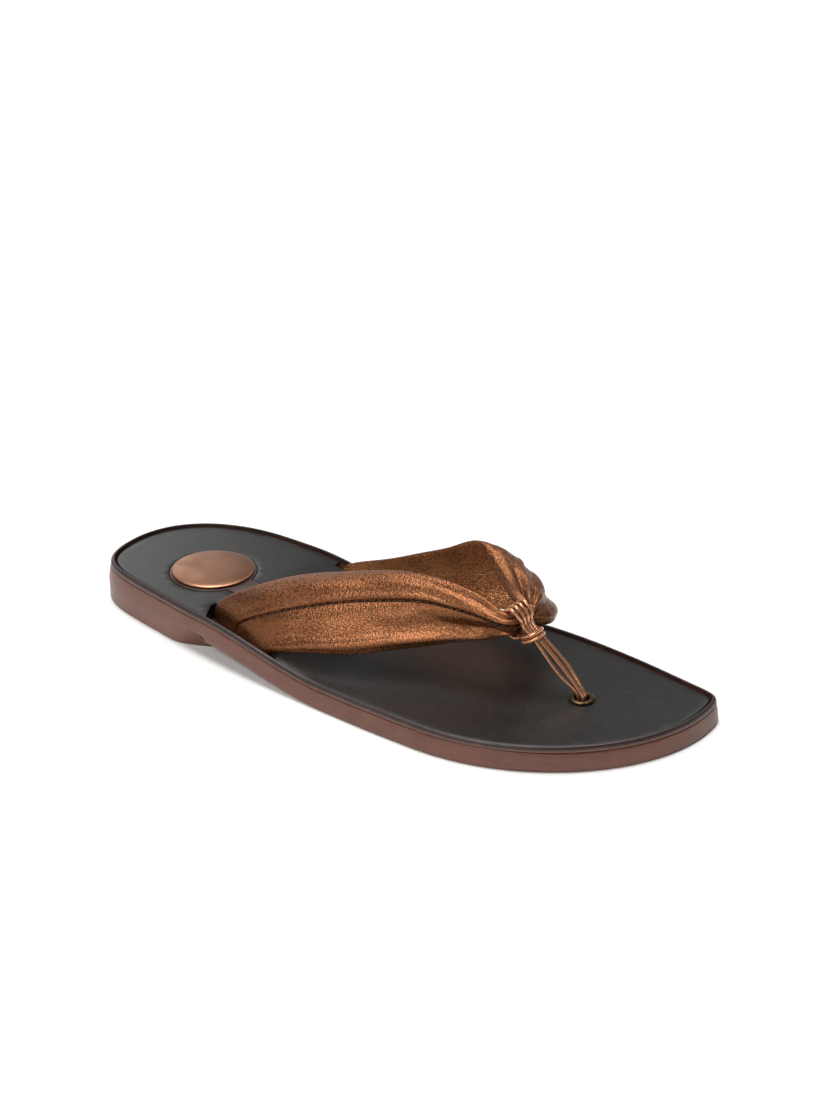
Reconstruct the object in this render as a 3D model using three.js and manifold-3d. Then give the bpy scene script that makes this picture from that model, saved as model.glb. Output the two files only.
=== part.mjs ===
// A flat leather toe-post sandal (flip flop) for the right foot, in millimetres.
// +X runs from heel to toe, +Y to the inner side of the foot, +Z up. The origin is on the ground
// under the middle of the sole.
import * as THREE from "three";
import Module from "manifold-3d";
import { mergeVertices } from "three/addons/utils/BufferGeometryUtils.js";

const wasm = await Module();
wasm.setup();

// ---------------------------------------------------------------- driving dimensions

// Sole outline. Places along the foot are measured from the heel end or from the toe tip.
const soleLength = 262;
const ballWidth = 96.4;
const ballFromToe = 81; // where the sole is widest
const heelOuter = 35.4; // half widths of the heel, from the long axis
const heelInner = 40.2;
const heelFromBack = 51; // where the heel is widest
const archDepth = 11.2; // how far the inner side draws in at the arch
const archFromBack = 121;
const toeTipInward = 24; // the toe tip lies on the big toe's side
const toeCornerFromTip = 19; // where the big toe's side turns in to the tip
const toeCornerIn = 7.4; // how far that place lies in from the widest line

// Heights. Every layer above the heel and the arch rises with the heel.
const heelLift = 7;
const liftFromBack = 70; // the full lift is reached here
const liftStartFromBack = 136; // the sole is flat on the ground in front of this
const breastFromBack = 73; // front face of the heel
const breastSlope = 4;
const heelTuck = 9; // how far the heel's front corners curve in under the sole
const heelTuckRun = 24;
const soleEdgeRound = 1; // of the bottom edge

// Layers, bottom to top, and the gap left at each glued face.
const bondGap = 0.3;
const floorThickness = 2.5;
const wallDraft = 1.2; // the side leans in by this from the ground to the rim
const fillerThickness = 2.1;
const boardThickness = 1.0;
const foamThickness = 1.3;
const coverThickness = 1.0;
const rimWidth = 2.8;
const rimAboveCover = 0.9;
const rimBandHeight = 2.5; // the darker rounded band around the top of the rim
const groove = 1.1; // open groove between the rim and the footbed

// Straps.
const panelThickness = 1.1;
const liningThickness = 0.6;
const strapTail = 10; // turned in under the board
const strapWidthOuter = 40; // along the sole, where the strap goes down into its slot
const strapWidthInner = 40;
const seamPlace = 0.43; // share of the strap's width above the seam
const seamHalf = 0.18; // half the open seam between the two panels
const liningMargin = 0.6; // the lining stops this short of the panels' edges
const threadDiameter = 0.8;
const slotClearance = 0.6;
const outerRootFromBack = 67; // rear end of the outer strap's slot
const outerRootInset = 13; // that end lies this far in from the edge
const innerRootFromBack = 85;
const rootInset = 5.8; // the other slot ends

// The gather, where the cords draw the straps together, and the toe post's hole.
const toeHoleFromTip = 43.5;
const toeHoleInward = 5.4;
const toeHoleDiameter = 7.2;
const gatherBehindHole = 29;
const gatherTop = 37.6;
const gatherHeight = 8.4;
const gatherHalf = 3.4; // half the length of the gathered bundle under the cords
const gatherTurn = 1.2; // its ends lie this far behind its middle
const gatherFold = 0.9; // the leather is this much thicker again where it is gathered

// Cords of the toe post.
const cordDiameter = 1.5;
const cordCount = 4;
const wrapDiameter = 1.7;
const wrapHalfLength = 5.6;
const wrapTurns = 2;

// Heel medallion with its keyhole inlay.
const medallionDiameter = 34;
const medallionFromBack = 47.4;
const medallionOutward = 2.7;
const medallionHeight = 2.2;
const inlayBorder = 1.3;
const inlayTailWidth = 12.6;
const inlayTailLength = 50; // from the medallion's centre
const inlayTailTurn = 0.19; // radians towards the outer side
const rivetDiameter = 3;
const rivetHeadDiameter = 8;
const rivetHeadThickness = 0.6;
const clinchWiden = 1.7; // the clinched end is this many times as wide as the shank
const clinchThickness = 0.8;
const washerDiameter = 8;
const washerThickness = 0.6;
const capEdge = 1.1; // diameter of the cap's rolled edge
const capRecess = 0.9; // the hollow under the cap that takes the rivet's head

// Eyelet in the toe hole and the plate under it.
const eyeletFlange = 10;
const eyeletWall = 0.5;
const eyeletHeight = 0.85;
const anchorDiameter = 13;
const anchorThickness = 1.1;

// ---------------------------------------------------------------- places worked out from them

const heelEnd = -soleLength / 2;
const toeTip = soleLength / 2;
const outer = -1;
const inner = 1;

const wallTop = floorThickness + fillerThickness + boardThickness + foamThickness +
  coverThickness + 4 * bondGap + rimAboveCover - rimBandHeight;
const fillerZ = floorThickness + bondGap;
const boardZ = fillerZ + fillerThickness + bondGap;
const foamZ = boardZ + boardThickness + bondGap;
const coverZ = foamZ + foamThickness + bondGap;
const coverTop = coverZ + coverThickness;
const rimInset = wallDraft + rimWidth; // inner wall of the rim, from the outline
const rimTop = coverTop + rimAboveCover;

const toeHole = new THREE.Vector2(toeTip - toeHoleFromTip, toeHoleInward);
const medallion = new THREE.Vector2(heelEnd + medallionFromBack, -medallionOutward);
const gather = new THREE.Vector3(toeHole.x - gatherBehindHole, toeHole.y - 0.8, gatherTop);

const smooth = (t) => THREE.MathUtils.smoothstep(t, 0, 1);
const lift = (x) => heelLift * smooth((heelEnd + liftStartFromBack - x) / (liftStartFromBack - liftFromBack));

// ---------------------------------------------------------------- outline of the sole

// A chain of cubic curves from the heel end to the toe tip, for one side of the foot.
function sideChain(points) {
  return points.slice(1).map((p, i) => {
    const q = points[i];
    const start = new THREE.Vector2(q.x, q.y);
    const end = new THREE.Vector2(p.x, p.y);
    return new THREE.CubicBezierCurve(
      start,
      start.clone().addScaledVector(q.dir, q.out),
      end.clone().addScaledVector(p.dir, -p.in),
      end,
    );
  });
}

const direction = (x, y) => new THREE.Vector2(x, y).normalize();
const chains = {
  [outer]: sideChain([
    { x: heelEnd, y: 0, dir: direction(0, -1), out: 28 },
    { x: heelEnd + heelFromBack, y: -heelOuter, dir: direction(1, -0.22), in: 36, out: 30 },
    { x: toeTip - ballFromToe, y: -ballWidth / 2, dir: direction(1, 0), in: 36, out: 44 },
    { x: toeTip, y: toeTipInward, dir: direction(0, 1), in: 37 },
  ]),
  [inner]: sideChain([
    { x: heelEnd, y: 0, dir: direction(0, 1), out: 25 },
    { x: heelEnd + heelFromBack, y: heelInner, dir: direction(1, 0), in: 30, out: 24 },
    { x: heelEnd + archFromBack, y: ballWidth / 2 - archDepth, dir: direction(1, 0), in: 24, out: 24 },
    { x: toeTip - ballFromToe, y: ballWidth / 2, dir: direction(1, 0), in: 26, out: 22 },
    { x: toeTip - toeCornerFromTip, y: ballWidth / 2 - toeCornerIn, dir: direction(1, -0.2), in: 20, out: 16 },
    { x: toeTip, y: toeTipInward, dir: direction(0, -1), in: 15 },
  ]),
};

// The point of one side's edge at a given place along the foot.
function edgeAt(side, x) {
  const curve = chains[side].find((c) => x <= c.v3.x) ?? chains[side].at(-1);
  let low = 0;
  let high = 1;
  for (let i = 0; i < 40; i++) {
    const middle = (low + high) / 2;
    if (curve.getPoint(middle).x < x) low = middle;
    else high = middle;
  }
  return curve.getPoint((low + high) / 2);
}

// The four slots where the straps go down beside the footbed.
const slots = {
  [outer]: {
    rear: heelEnd + outerRootFromBack,
    front: heelEnd + outerRootFromBack + strapWidthOuter,
    rearInset: outerRootInset,
    frontInset: rootInset,
  },
  [inner]: {
    rear: heelEnd + innerRootFromBack,
    front: heelEnd + innerRootFromBack + strapWidthInner,
    rearInset: rootInset,
    frontInset: rootInset,
  },
};
const slotEndRoom = 1.5;
const slotEndStep = 0.8;

function slotInset(side, x) {
  const { rear, front, rearInset, frontInset } = slots[side];
  const t = THREE.MathUtils.clamp((x - rear) / (front - rear), 0, 1);
  return THREE.MathUtils.lerp(rearInset, frontInset, t);
}

// Beside a strap's slot, how far in from the edge a layer ends that clears the strap by `past`.
function notchInset({ x, side }, past) {
  const { rear, front } = slots[side];
  const inside = x > rear - slotEndRoom - slotEndStep / 2 && x < front + slotEndRoom + slotEndStep / 2;
  return inside && slotInset(side, x) + past;
}

// Places along the foot where every ring of points has a pair, one on each side.
const stationCount = 30;
const stations = [...Array(stationCount - 1).keys()]
  .map((i) => (-Math.cos((Math.PI * (i + 1)) / stationCount) * soleLength) / 2)
  .concat([outer, inner].flatMap((side) => {
    const { rear, front } = slots[side];
    return [rear - slotEndRoom, front + slotEndRoom].flatMap((x, i) => [x, x + (i ? 1 : -1) * slotEndStep]);
  }))
  .concat([heelEnd + breastFromBack, heelEnd + breastFromBack - breastSlope])
  .sort((a, b) => a - b)
  .filter((x, i, all) => i === 0 || x - all[i - 1] > 0.3);

const outline = [
  { x: heelEnd, y: 0, side: outer },
  ...stations.map((x) => ({ x, y: edgeAt(outer, x).y, side: outer })),
  { x: toeTip, y: toeTipInward, side: outer },
  ...[...stations].reverse().map((x) => ({ x, y: edgeAt(inner, x).y, side: inner })),
];
outline.forEach((p, i) => {
  const before = outline.at(i - 1);
  const after = outline[(i + 1) % outline.length];
  p.normal = new THREE.Vector2(after.y - before.y, before.x - after.x).normalize();
});

// A ring of points, moved in from the outline and set at a height above the lifted ground line.
// With `past` it steps further in beside the straps.
function ring(inset, height, { base = lift, past } = {}) {
  return outline.map((p) => {
    const notch = past !== undefined && notchInset(p, past);
    if (notch) return new THREE.Vector3(p.x, p.y - p.side * notch, base(p.x) + height);
    const d = typeof inset === "function" ? inset(p.x) : inset;
    const x = p.x - p.normal.x * d;
    return new THREE.Vector3(x, p.y - p.normal.y * d, base(x) + height);
  });
}

// ---------------------------------------------------------------- solids

function geometryOf(points, triangles) {
  const geometry = new THREE.BufferGeometry();
  geometry.setAttribute("position", new THREE.Float32BufferAttribute(points.flatMap((p) => p.toArray()), 3));
  geometry.setIndex(triangles.flat());
  geometry.computeVertexNormals();
  return geometry;
}

const quad = (a, b, c, d) => [[a, b, c], [a, c, d]];

// A solid through rings of equal length that run anticlockwise seen from above. Its ends are closed
// across from one side to the other, or the last ring joins the first one.
function loft(rings, closed = false) {
  const size = rings[0].length;
  const triangles = [];
  const last = closed ? rings.length : rings.length - 1;
  for (let r = 0; r < last; r++) {
    const next = (r + 1) % rings.length;
    for (let i = 0; i < size; i++) {
      const j = (i + 1) % size;
      triangles.push(...quad(r * size + i, r * size + j, next * size + j, next * size + i));
    }
  }
  if (!closed) {
    const top = (rings.length - 1) * size;
    for (let i = 0; i < size / 2; i++) {
      const a = i;
      const b = i + 1;
      const c = (size - i - 1) % size;
      const d = (size - i) % size;
      const facing = [[a, b, c], [a, c, d]].filter((t) => new Set(t).size === 3);
      triangles.push(...facing.map((t) => [...t].reverse()));
      triangles.push(...facing.map((t) => t.map((v) => v + top)));
    }
  }
  return geometryOf(rings.flat(), triangles);
}

// A sheet with thickness, between two grids of points that match row by row.
function sheetSolid(outside, inside) {
  const rows = outside.length;
  const columns = outside[0].length;
  const at = (r, c) => r * columns + c;
  const under = rows * columns;
  const triangles = [];
  for (let r = 0; r < rows - 1; r++)
    for (let c = 0; c < columns - 1; c++) {
      const face = quad(at(r, c), at(r, c + 1), at(r + 1, c + 1), at(r + 1, c));
      triangles.push(...face, ...face.map((t) => t.map((v) => v + under).reverse()));
    }
  const wall = (a, b) => triangles.push(...quad(b, a, a + under, b + under));
  for (let c = 0; c < columns - 1; c++) {
    wall(at(0, c), at(0, c + 1));
    wall(at(rows - 1, c + 1), at(rows - 1, c));
  }
  for (let r = 0; r < rows - 1; r++) {
    wall(at(r + 1, 0), at(r, 0));
    wall(at(r, columns - 1), at(r + 1, columns - 1));
  }
  return geometryOf([...outside.flat(), ...inside.flat()], triangles);
}

function solidOf(geometry) {
  const bare = geometry.clone();
  bare.deleteAttribute("normal");
  bare.deleteAttribute("uv");
  const merged = mergeVertices(bare, 1e-4);
  return new wasm.Manifold(new wasm.Mesh({
    numProp: 3,
    vertProperties: merged.attributes.position.array,
    triVerts: new Uint32Array(merged.index.array),
  }));
}

function geometryFrom(solid) {
  const { vertProperties, triVerts } = solid.getMesh();
  const geometry = new THREE.BufferGeometry();
  geometry.setAttribute("position", new THREE.Float32BufferAttribute(vertProperties, 3));
  geometry.setIndex([...triVerts]);
  const flat = geometry.toNonIndexed();
  flat.computeVertexNormals();
  return flat;
}

const drillHeight = 60;
function drill(centre, diameter, sides = 32) {
  const cylinder = new THREE.CylinderGeometry(diameter / 2, diameter / 2, drillHeight, sides);
  return solidOf(cylinder.rotateX(Math.PI / 2).translate(centre.x, centre.y, 0));
}

const cut = (geometry, ...tools) =>
  geometryFrom(tools.reduce((solid, tool) => solid.subtract(tool), solidOf(geometry)));

// A turned piece from a profile of [radius, height] pairs, set at a place on the lifted ground line.
function turned(profile, centre, segments = 32) {
  const points = profile.map(([r, z]) => new THREE.Vector2(r, z));
  return new THREE.LatheGeometry(points, segments)
    .rotateX(Math.PI / 2)
    .translate(centre.x, centre.y, lift(centre.x));
}

function tube(points, diameter, steps, sides = 8) {
  const corners = [...Array(sides).keys()].map((i) => {
    const angle = (2 * Math.PI * i) / sides;
    return new THREE.Vector2(Math.cos(angle), Math.sin(angle)).multiplyScalar(diameter / 2);
  });
  return new THREE.ExtrudeGeometry(new THREE.Shape(corners), {
    steps,
    extrudePath: new THREE.CatmullRomCurve3(points, false, "centripetal"),
  });
}

// ---------------------------------------------------------------- sole and footbed

// The moulded bottom: a tray with a raised rim, and a low heel that is part of it.
function outsole() {
  const breast = heelEnd + breastFromBack;
  const isHeel = (x) => x < breast - breastSlope / 2;
  const ground = (x) => (isHeel(x) ? 0 : lift(x));
  const tuck = (x) => {
    if (!isHeel(x)) return 0;
    return heelTuck * THREE.MathUtils.smoothstep(x, breast - heelTuckRun, breast) ** 1.5;
  };
  return loft([
    ring((x) => tuck(x) + soleEdgeRound, 0, { base: ground }),
    ring((x) => tuck(x) + 0.2 * soleEdgeRound, soleEdgeRound, { base: ground }),
    ring((x) => 0.15 * tuck(x), 1.6 * soleEdgeRound),
    ring(0.3 * wallDraft, 0.45 * wallTop),
    ring(wallDraft, wallTop - bondGap),
    ring(wallDraft + bondGap, wallTop),
    ring(rimInset, wallTop),
    ring(rimInset, floorThickness),
  ]);
}

// The rounded band that finishes the top of the rim.
function rimBand() {
  const base = wallTop + bondGap;
  const rise = (share) => THREE.MathUtils.lerp(base, rimTop, share);
  return loft([
    ring(rimInset, base),
    ring(wallDraft, base),
    ring(wallDraft + 0.1, rise(0.45)),
    ring(wallDraft + 0.5, rise(0.8)),
    ring(wallDraft + 1.2, rise(1)),
    ring(rimInset - 0.3, rise(1)),
    ring(rimInset, rise(0.85)),
  ], true);
}

const pastStrap = bondGap / 2 + liningThickness + slotClearance; // from the strap's middle to a layer
const layer = (inset, z, thickness, past = pastStrap) =>
  loft([ring(inset, z, { past }), ring(inset, z + thickness, { past })]);

const filler = () => cut(
  layer(rimInset + bondGap, fillerZ, fillerThickness, pastStrap + strapTail),
  drill(toeHole, anchorDiameter + 2 * bondGap),
  drill(medallion, washerDiameter + 2 * bondGap),
);
const shankHole = () => drill(medallion, rivetDiameter + 2 * bondGap, 16);
const board = () => cut(
  layer(rimInset + bondGap, boardZ, boardThickness),
  drill(toeHole, toeHoleDiameter),
  shankHole(),
);
const foam = () => cut(
  layer(rimInset + groove / 2, foamZ, foamThickness),
  drill(toeHole, toeHoleDiameter),
  shankHole(),
);

// The keyhole: a disc under the medallion with a narrow tail that runs forward to the straps.
function keyhole(grow, bottom, top) {
  const disc = new THREE.CylinderGeometry(1, 1, top - bottom, 48);
  const radius = medallionDiameter / 2 + inlayBorder + grow;
  disc.scale(radius, 1, radius).rotateX(Math.PI / 2);
  disc.translate(medallion.x, medallion.y, (bottom + top) / 2 + lift(medallion.x));
  const along = direction(1, -Math.tan(inlayTailTurn));
  const across = new THREE.Vector2(-along.y, along.x);
  const steps = 12;
  const start = medallionDiameter / 4;
  const end = inlayTailLength + grow;
  const sections = [...Array(steps + 1).keys()].map((i) => {
    const reach = THREE.MathUtils.lerp(start, end, i / steps);
    const corner = (sideways, z) => {
      const x = medallion.x + along.x * reach + across.x * sideways;
      const y = medallion.y + along.y * reach + across.y * sideways;
      return new THREE.Vector3(x, y, lift(x) + z);
    };
    const half = inlayTailWidth / 2 + grow;
    return [corner(-half, bottom), corner(half, bottom), corner(half, top), corner(-half, top)];
  });
  return solidOf(disc).add(solidOf(loft(sections)));
}
const inlay = () => geometryFrom(keyhole(0, coverZ, coverTop).subtract(shankHole()));
const cover = () => cut(
  layer(rimInset + groove, coverZ, coverThickness),
  drill(toeHole, toeHoleDiameter),
  keyhole(bondGap, coverZ - bondGap, coverTop + bondGap),
);

// ---------------------------------------------------------------- medallion and eyelet

function medallionCap() {
  const base = coverTop + bondGap;
  const radius = medallionDiameter / 2;
  const recess = rivetHeadDiameter / 2 + bondGap;
  const roll = capEdge / 2;
  const rolled = [...Array(5).keys()].map((i) => {
    const angle = (Math.PI * i) / 4 - Math.PI / 2;
    return [radius - roll + roll * Math.cos(angle), base + roll + roll * Math.sin(angle)];
  });
  const dome = [0.85, 0.6, 0.3].map((share) =>
    [radius * share, base + capEdge + (medallionHeight - capEdge) * (1 - share ** 2)]);
  return turned([
    [0, base + capRecess],
    [recess, base + capRecess],
    [recess, base],
    ...rolled,
    ...dome,
    [0, base + medallionHeight],
  ], medallion, 48);
}

function rivet() {
  const underHead = coverTop + bondGap;
  const clinchTop = boardZ - 2 * bondGap - washerThickness;
  const shank = rivetDiameter / 2;
  return turned([
    [0, clinchTop - clinchThickness],
    [shank * clinchWiden, clinchTop - clinchThickness],
    [shank * clinchWiden, clinchTop],
    [shank, clinchTop],
    [shank, underHead],
    [rivetHeadDiameter / 2, underHead],
    [rivetHeadDiameter / 2, underHead + rivetHeadThickness],
    [0, underHead + rivetHeadThickness],
  ], medallion, 24);
}

function washer(centre, holeDiameter, diameter) {
  const top = boardZ - bondGap;
  return turned([
    [holeDiameter / 2, top - washerThickness],
    [diameter / 2, top - washerThickness],
    [diameter / 2, top],
    [holeDiameter / 2, top],
    [holeDiameter / 2, top - washerThickness],
  ], centre, 32);
}

function eyelet() {
  const barrel = toeHoleDiameter / 2 - bondGap;
  const bore = barrel - eyeletWall;
  const under = coverTop + bondGap;
  return turned([
    [bore, boardZ - bondGap],
    [barrel, boardZ - bondGap],
    [barrel, under],
    [eyeletFlange / 2 - 0.35 * eyeletHeight, under],
    [eyeletFlange / 2, under + 0.4 * eyeletHeight],
    [(eyeletFlange / 2 + bore) / 2, under + eyeletHeight],
    [bore + 0.35 * eyeletHeight, under + 0.65 * eyeletHeight],
    [bore, under],
    [bore, boardZ - bondGap],
  ], toeHole, 32);
}

const anchor = () => turned([
  [0, fillerZ],
  [anchorDiameter / 2, fillerZ],
  [anchorDiameter / 2, fillerZ + anchorThickness],
  [0, fillerZ + anchorThickness],
], toeHole, 24);

// ---------------------------------------------------------------- straps

// The two edges of each strap between its slot and the gather. Each row is the share of the way,
// the distance out to the strap's own side and the height above the straight line between the ends.
// The crown is how far the strap bulges between its edges; a larger bias moves it to the gather.
const strapEdges = {
  [outer]: {
    rear: [[0.09, 0.6, 6.8], [0.25, -4.3, 9.8], [0.45, -7, 10.4], [0.65, -6, 10.6], [0.86, -0.6, 6.4]],
    front: [[0.13, 2.4, 0.8], [0.34, 5.4, -0.6], [0.55, 3.4, -1.4], [0.75, 0.8, -2], [0.9, 0.2, -2]],
    crown: 4,
    crownBias: 1,
  },
  [inner]: {
    rear: [[0.1, 0, 4], [0.25, 0.2, 6.8], [0.4, 3, 9.6], [0.53, 11, 12.4], [0.65, 17, 13],
      [0.8, 16, 8.6], [0.92, 8.6, 3.6]],
    front: [[0.12, 4, 1], [0.33, 14, -1], [0.6, 22, -3], [0.82, 23, -4], [0.95, 15, -3]],
    crown: 6,
    crownBias: 1.7,
  },
};
const strapRows = 14;

function strapCurve(side, which) {
  const slot = slots[side];
  const x = slot[which];
  const edge = edgeAt(side, x);
  const root = new THREE.Vector3(x, edge.y - side * slotInset(side, x), lift(x) + coverTop);
  const end = gather.clone();
  if (which === "front") end.z -= gatherHeight;
  const flat = new THREE.Vector2(end.x - root.x, end.y - root.y);
  const sideways = new THREE.Vector2(-flat.y, flat.x).normalize().multiplyScalar(side);
  const points = strapEdges[side][which].map(([share, out, up]) => new THREE.Vector3(
    root.x + flat.x * share + sideways.x * out,
    root.y + flat.y * share + sideways.y * out,
    THREE.MathUtils.lerp(root.z, end.z, share) + up,
  ));
  const beside = end.clone().add(new THREE.Vector3(-gatherTurn, side * gatherHalf, 0));
  return new THREE.CatmullRomCurve3([root, ...points, beside, end], false, "centripetal");
}

// The middle surface of both straps as rows across the strap, from the outer slot's hidden tail over
// the gather to the inner slot's tail. Columns run from the rear edge to the front edge; each row's
// shares of the strap's width are worked out from that width.
function strapGrid(sharesOf) {
  const half = (side) => {
    const slot = slots[side];
    const tailZ = fillerZ + fillerThickness - liningThickness - bondGap / 2;
    const below = (inward, z, shares = sharesOf(slot.front - slot.rear)) => shares.map((v) => {
      const x = THREE.MathUtils.lerp(slot.rear, slot.front, v);
      const inset = slotInset(side, x) + inward;
      return new THREE.Vector3(x, edgeAt(side, x).y - side * inset, lift(x) + z);
    });
    const rear = strapCurve(side, "rear");
    const front = strapCurve(side, "front");
    const rows = [below(strapTail, tailZ), below(strapTail / 2, tailZ), below(0, tailZ)];
    for (let i = 0; i <= strapRows; i++) {
      const u = i / strapRows;
      const a = rear.getPoint(u);
      const b = front.getPoint(u);
      const along = rear.getPoint(Math.min(1, u + 0.04)).sub(rear.getPoint(Math.max(0, u - 0.04)));
      const out = b.clone().sub(a).cross(along).normalize().multiplyScalar(-side);
      const crown = strapEdges[side].crown * Math.sin(Math.PI * u ** strapEdges[side].crownBias);
      const settle = (1 - u) ** 8;
      const shares = sharesOf(a.distanceTo(b));
      const foot = below(0, coverTop, shares);
      rows.push(shares.map((v, c) => a.clone().lerp(b, v)
        .addScaledVector(out, crown * 4 * v * (1 - v))
        .lerp(foot[c], settle)));
    }
    return rows;
  };
  const innerRows = half(inner).reverse();
  return [...half(outer), ...innerRows.slice(1)];
}

// Unit normals of a grid, pointing away from the foot, lengthened at sharp folds.
function gridNormals(grid) {
  return grid.map((row, r) => row.map((p, c) => {
    const across = row[Math.min(c + 1, row.length - 1)].clone().sub(row[Math.max(c - 1, 0)]).normalize();
    const before = grid[Math.max(r - 1, 0)][c];
    const after = grid[Math.min(r + 1, grid.length - 1)][c];
    const steps = [p.clone().sub(before), after.clone().sub(p)].filter((s) => s.length() > 0);
    const normals = steps.map((s) => across.clone().cross(s).normalize());
    const sum = normals.reduce((a, b) => a.clone().add(b)).normalize();
    return sum.divideScalar(Math.max(0.7, sum.dot(normals[0])));
  }));
}

const skinOut = bondGap / 2; // from the middle surface to the leather on either side of it

// A skin of the straps between two shares of their width, less a margin in millimetres at each end,
// from one distance off the middle surface to another. It thickens at the gather.
const gatherRows = 2; // rows over which the thickening fades
const thickening = (row, rows) => 1 + gatherFold * Math.exp(-(((row - (rows - 1) / 2) / gatherRows) ** 2));

function strapSkin([from, fromMargin], [to, toMargin], columns, low, high) {
  const grid = strapGrid((width) => [...Array(columns + 1).keys()].map((i) =>
    THREE.MathUtils.lerp(from + fromMargin / width, to - toMargin / width, i / columns)));
  const normals = gridNormals(grid);
  const off = (distance) => grid.map((row, r) => row.map((p, c) => {
    const base = Math.sign(distance) * skinOut;
    return p.clone().addScaledVector(normals[r][c], base + (distance - base) * thickening(r, grid.length));
  }));
  return sheetSolid(off(high), off(low));
}

const rearPanel = () => strapSkin([0, 0], [seamPlace, seamHalf], 4, skinOut, skinOut + panelThickness);
const frontPanel = () => strapSkin([seamPlace, seamHalf], [1, 0], 6, skinOut, skinOut + panelThickness);
const lining = () => strapSkin([0, liningMargin], [1, liningMargin], 8, -skinOut - liningThickness, -skinOut);

// The sewing thread that lies on the outer strap's seam, from above its slot to the gather.
const threadFirstRow = 4;
function seamThread() {
  const grid = strapGrid(() => [seamPlace - 0.02, seamPlace, seamPlace + 0.02]);
  const normals = gridNormals(grid);
  const points = grid.map((row, r) => {
    const height = skinOut + panelThickness * thickening(r, grid.length) + bondGap + threadDiameter / 2;
    return row[1].clone().addScaledVector(normals[r][1], height);
  });
  return tube(points.slice(threadFirstRow, (grid.length - 1) / 2 - 1), threadDiameter, 40, 6);
}

// ---------------------------------------------------------------- toe post

const wrapCentre = new THREE.Vector3(gather.x + 7.4, gather.y, gather.z - gatherHeight - 1.6);
const wrapLong = new THREE.Vector3(0.88, 0, 0.47).normalize();

// Each cord comes up from the anchor through the eyelet, lies against the next one at the wrap, goes
// over the gathered straps and ends behind the wrap.
function cord(index) {
  const spread = index - (cordCount - 1) / 2;
  const row = spread * (cordDiameter + 0.1);
  const packX = (index % 2 ? 1 : -1) * (cordDiameter / 2 + 0.2);
  const apart = (index % 2 ? 1 : -1) * 0.4;
  const packY = (index < cordCount / 2 ? -1 : 1) * (cordDiameter / 2 + 0.08);
  const low = fillerZ + anchorThickness + bondGap;
  const room = panelThickness * (1 + gatherFold) + bondGap + cordDiameter / 2 + 0.9;
  const bottom = gather.z - gatherHeight;
  const at = (x, y, z) => new THREE.Vector3(x, y, z);
  const rear = gather.y + 0.6; // the bundle leans a little to the inner side behind the gather
  return tube([
    at(toeHole.x + packX, toeHole.y + packY, low),
    at(toeHole.x + packX, toeHole.y + packY, coverZ),
    at(toeHole.x + packX - 0.5, toeHole.y + packY, coverTop + 2),
    at(toeHole.x - 8.2 + apart, toeHole.y + row - 0.4, 19.4 + apart),
    at(wrapCentre.x + 1.6, gather.y + row, wrapCentre.z + 0.6),
    at(gather.x + room + 1.6, gather.y + row, gather.z - gatherHeight * 0.45),
    at(gather.x + room, gather.y + row, gather.z - 1),
    at(gather.x + 0.4, gather.y + row, gather.z + cordDiameter / 2 + 1.6),
    at(gather.x - room, rear + row, gather.z - 1.2),
    at(gather.x - room + 0.2, rear + row, bottom + 1.5),
    at(gather.x + 0.2, gather.y + row, bottom - 2.35),
    at(wrapCentre.x - 2.4, gather.y + row, wrapCentre.z - 0.8),
  ], cordDiameter, 76);
}

// One turn of the wrap: a long ring drawn round the cords in front and their ends behind.
function wrapTurn(turn) {
  const sides = 8;
  const steps = 40;
  const halfWidth = (cordCount * (cordDiameter + 0.1)) / 2 + wrapDiameter / 2 + 0.8;
  const wide = new THREE.Vector3(0, 1, 0);
  const flat = wrapLong.clone().cross(wide);
  const centre = wrapCentre.clone().addScaledVector(flat, -turn * (wrapDiameter + 0.2));
  const rounded = (value) => Math.sign(value) * Math.abs(value) ** 0.7;
  const path = [...Array(steps).keys()].map((i) => {
    const angle = (2 * Math.PI * i) / steps;
    return centre.clone()
      .addScaledVector(wrapLong, wrapHalfLength * rounded(Math.cos(angle)))
      .addScaledVector(wide, halfWidth * rounded(Math.sin(angle)));
  });
  const rings = path.map((p, i) => {
    const along = path[(i + 1) % steps].clone().sub(path.at(i - 1)).normalize();
    const sideways = flat.clone().cross(along);
    return [...Array(sides).keys()].map((k) => {
      const angle = (2 * Math.PI * k) / sides;
      return p.clone()
        .addScaledVector(sideways, (Math.cos(angle) * wrapDiameter) / 2)
        .addScaledVector(flat, (Math.sin(angle) * wrapDiameter) / 2);
    });
  });
  return loft(rings, true);
}

// ---------------------------------------------------------------- assembly

const finish = (color, roughness, metalness) => new THREE.MeshStandardMaterial({ color, roughness, metalness });
const looks = {
  mouldedBrown: finish("#7a5a4c", 0.38, 0.15),
  darkRim: finish("#3f2b26", 0.35, 0.1),
  cork: finish("#a98a66", 0.9, 0),
  fibreboard: finish("#8c7257", 0.85, 0),
  foam: finish("#d8d2c6", 0.95, 0),
  blackLeather: finish("#2c2927", 0.5, 0),
  brownLeather: finish("#33201a", 0.6, 0),
  copper: finish("#b07c5c", 0.28, 0.9),
  steel: finish("#9a9a98", 0.4, 0.9),
  antiqueBrass: finish("#6e5f49", 0.4, 0.85),
  bronzeLeather: finish("#94694a", 0.42, 0.35),
  liningLeather: finish("#6b4a33", 0.55, 0.25),
  thread: finish("#4a2c1c", 0.7, 0),
  cordLeather: finish("#b5835f", 0.35, 0.45),
};

const sandal = new THREE.Group();
function add(name, geometry, material) {
  const mesh = new THREE.Mesh(geometry, material);
  mesh.name = name;
  sandal.add(mesh);
}

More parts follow.
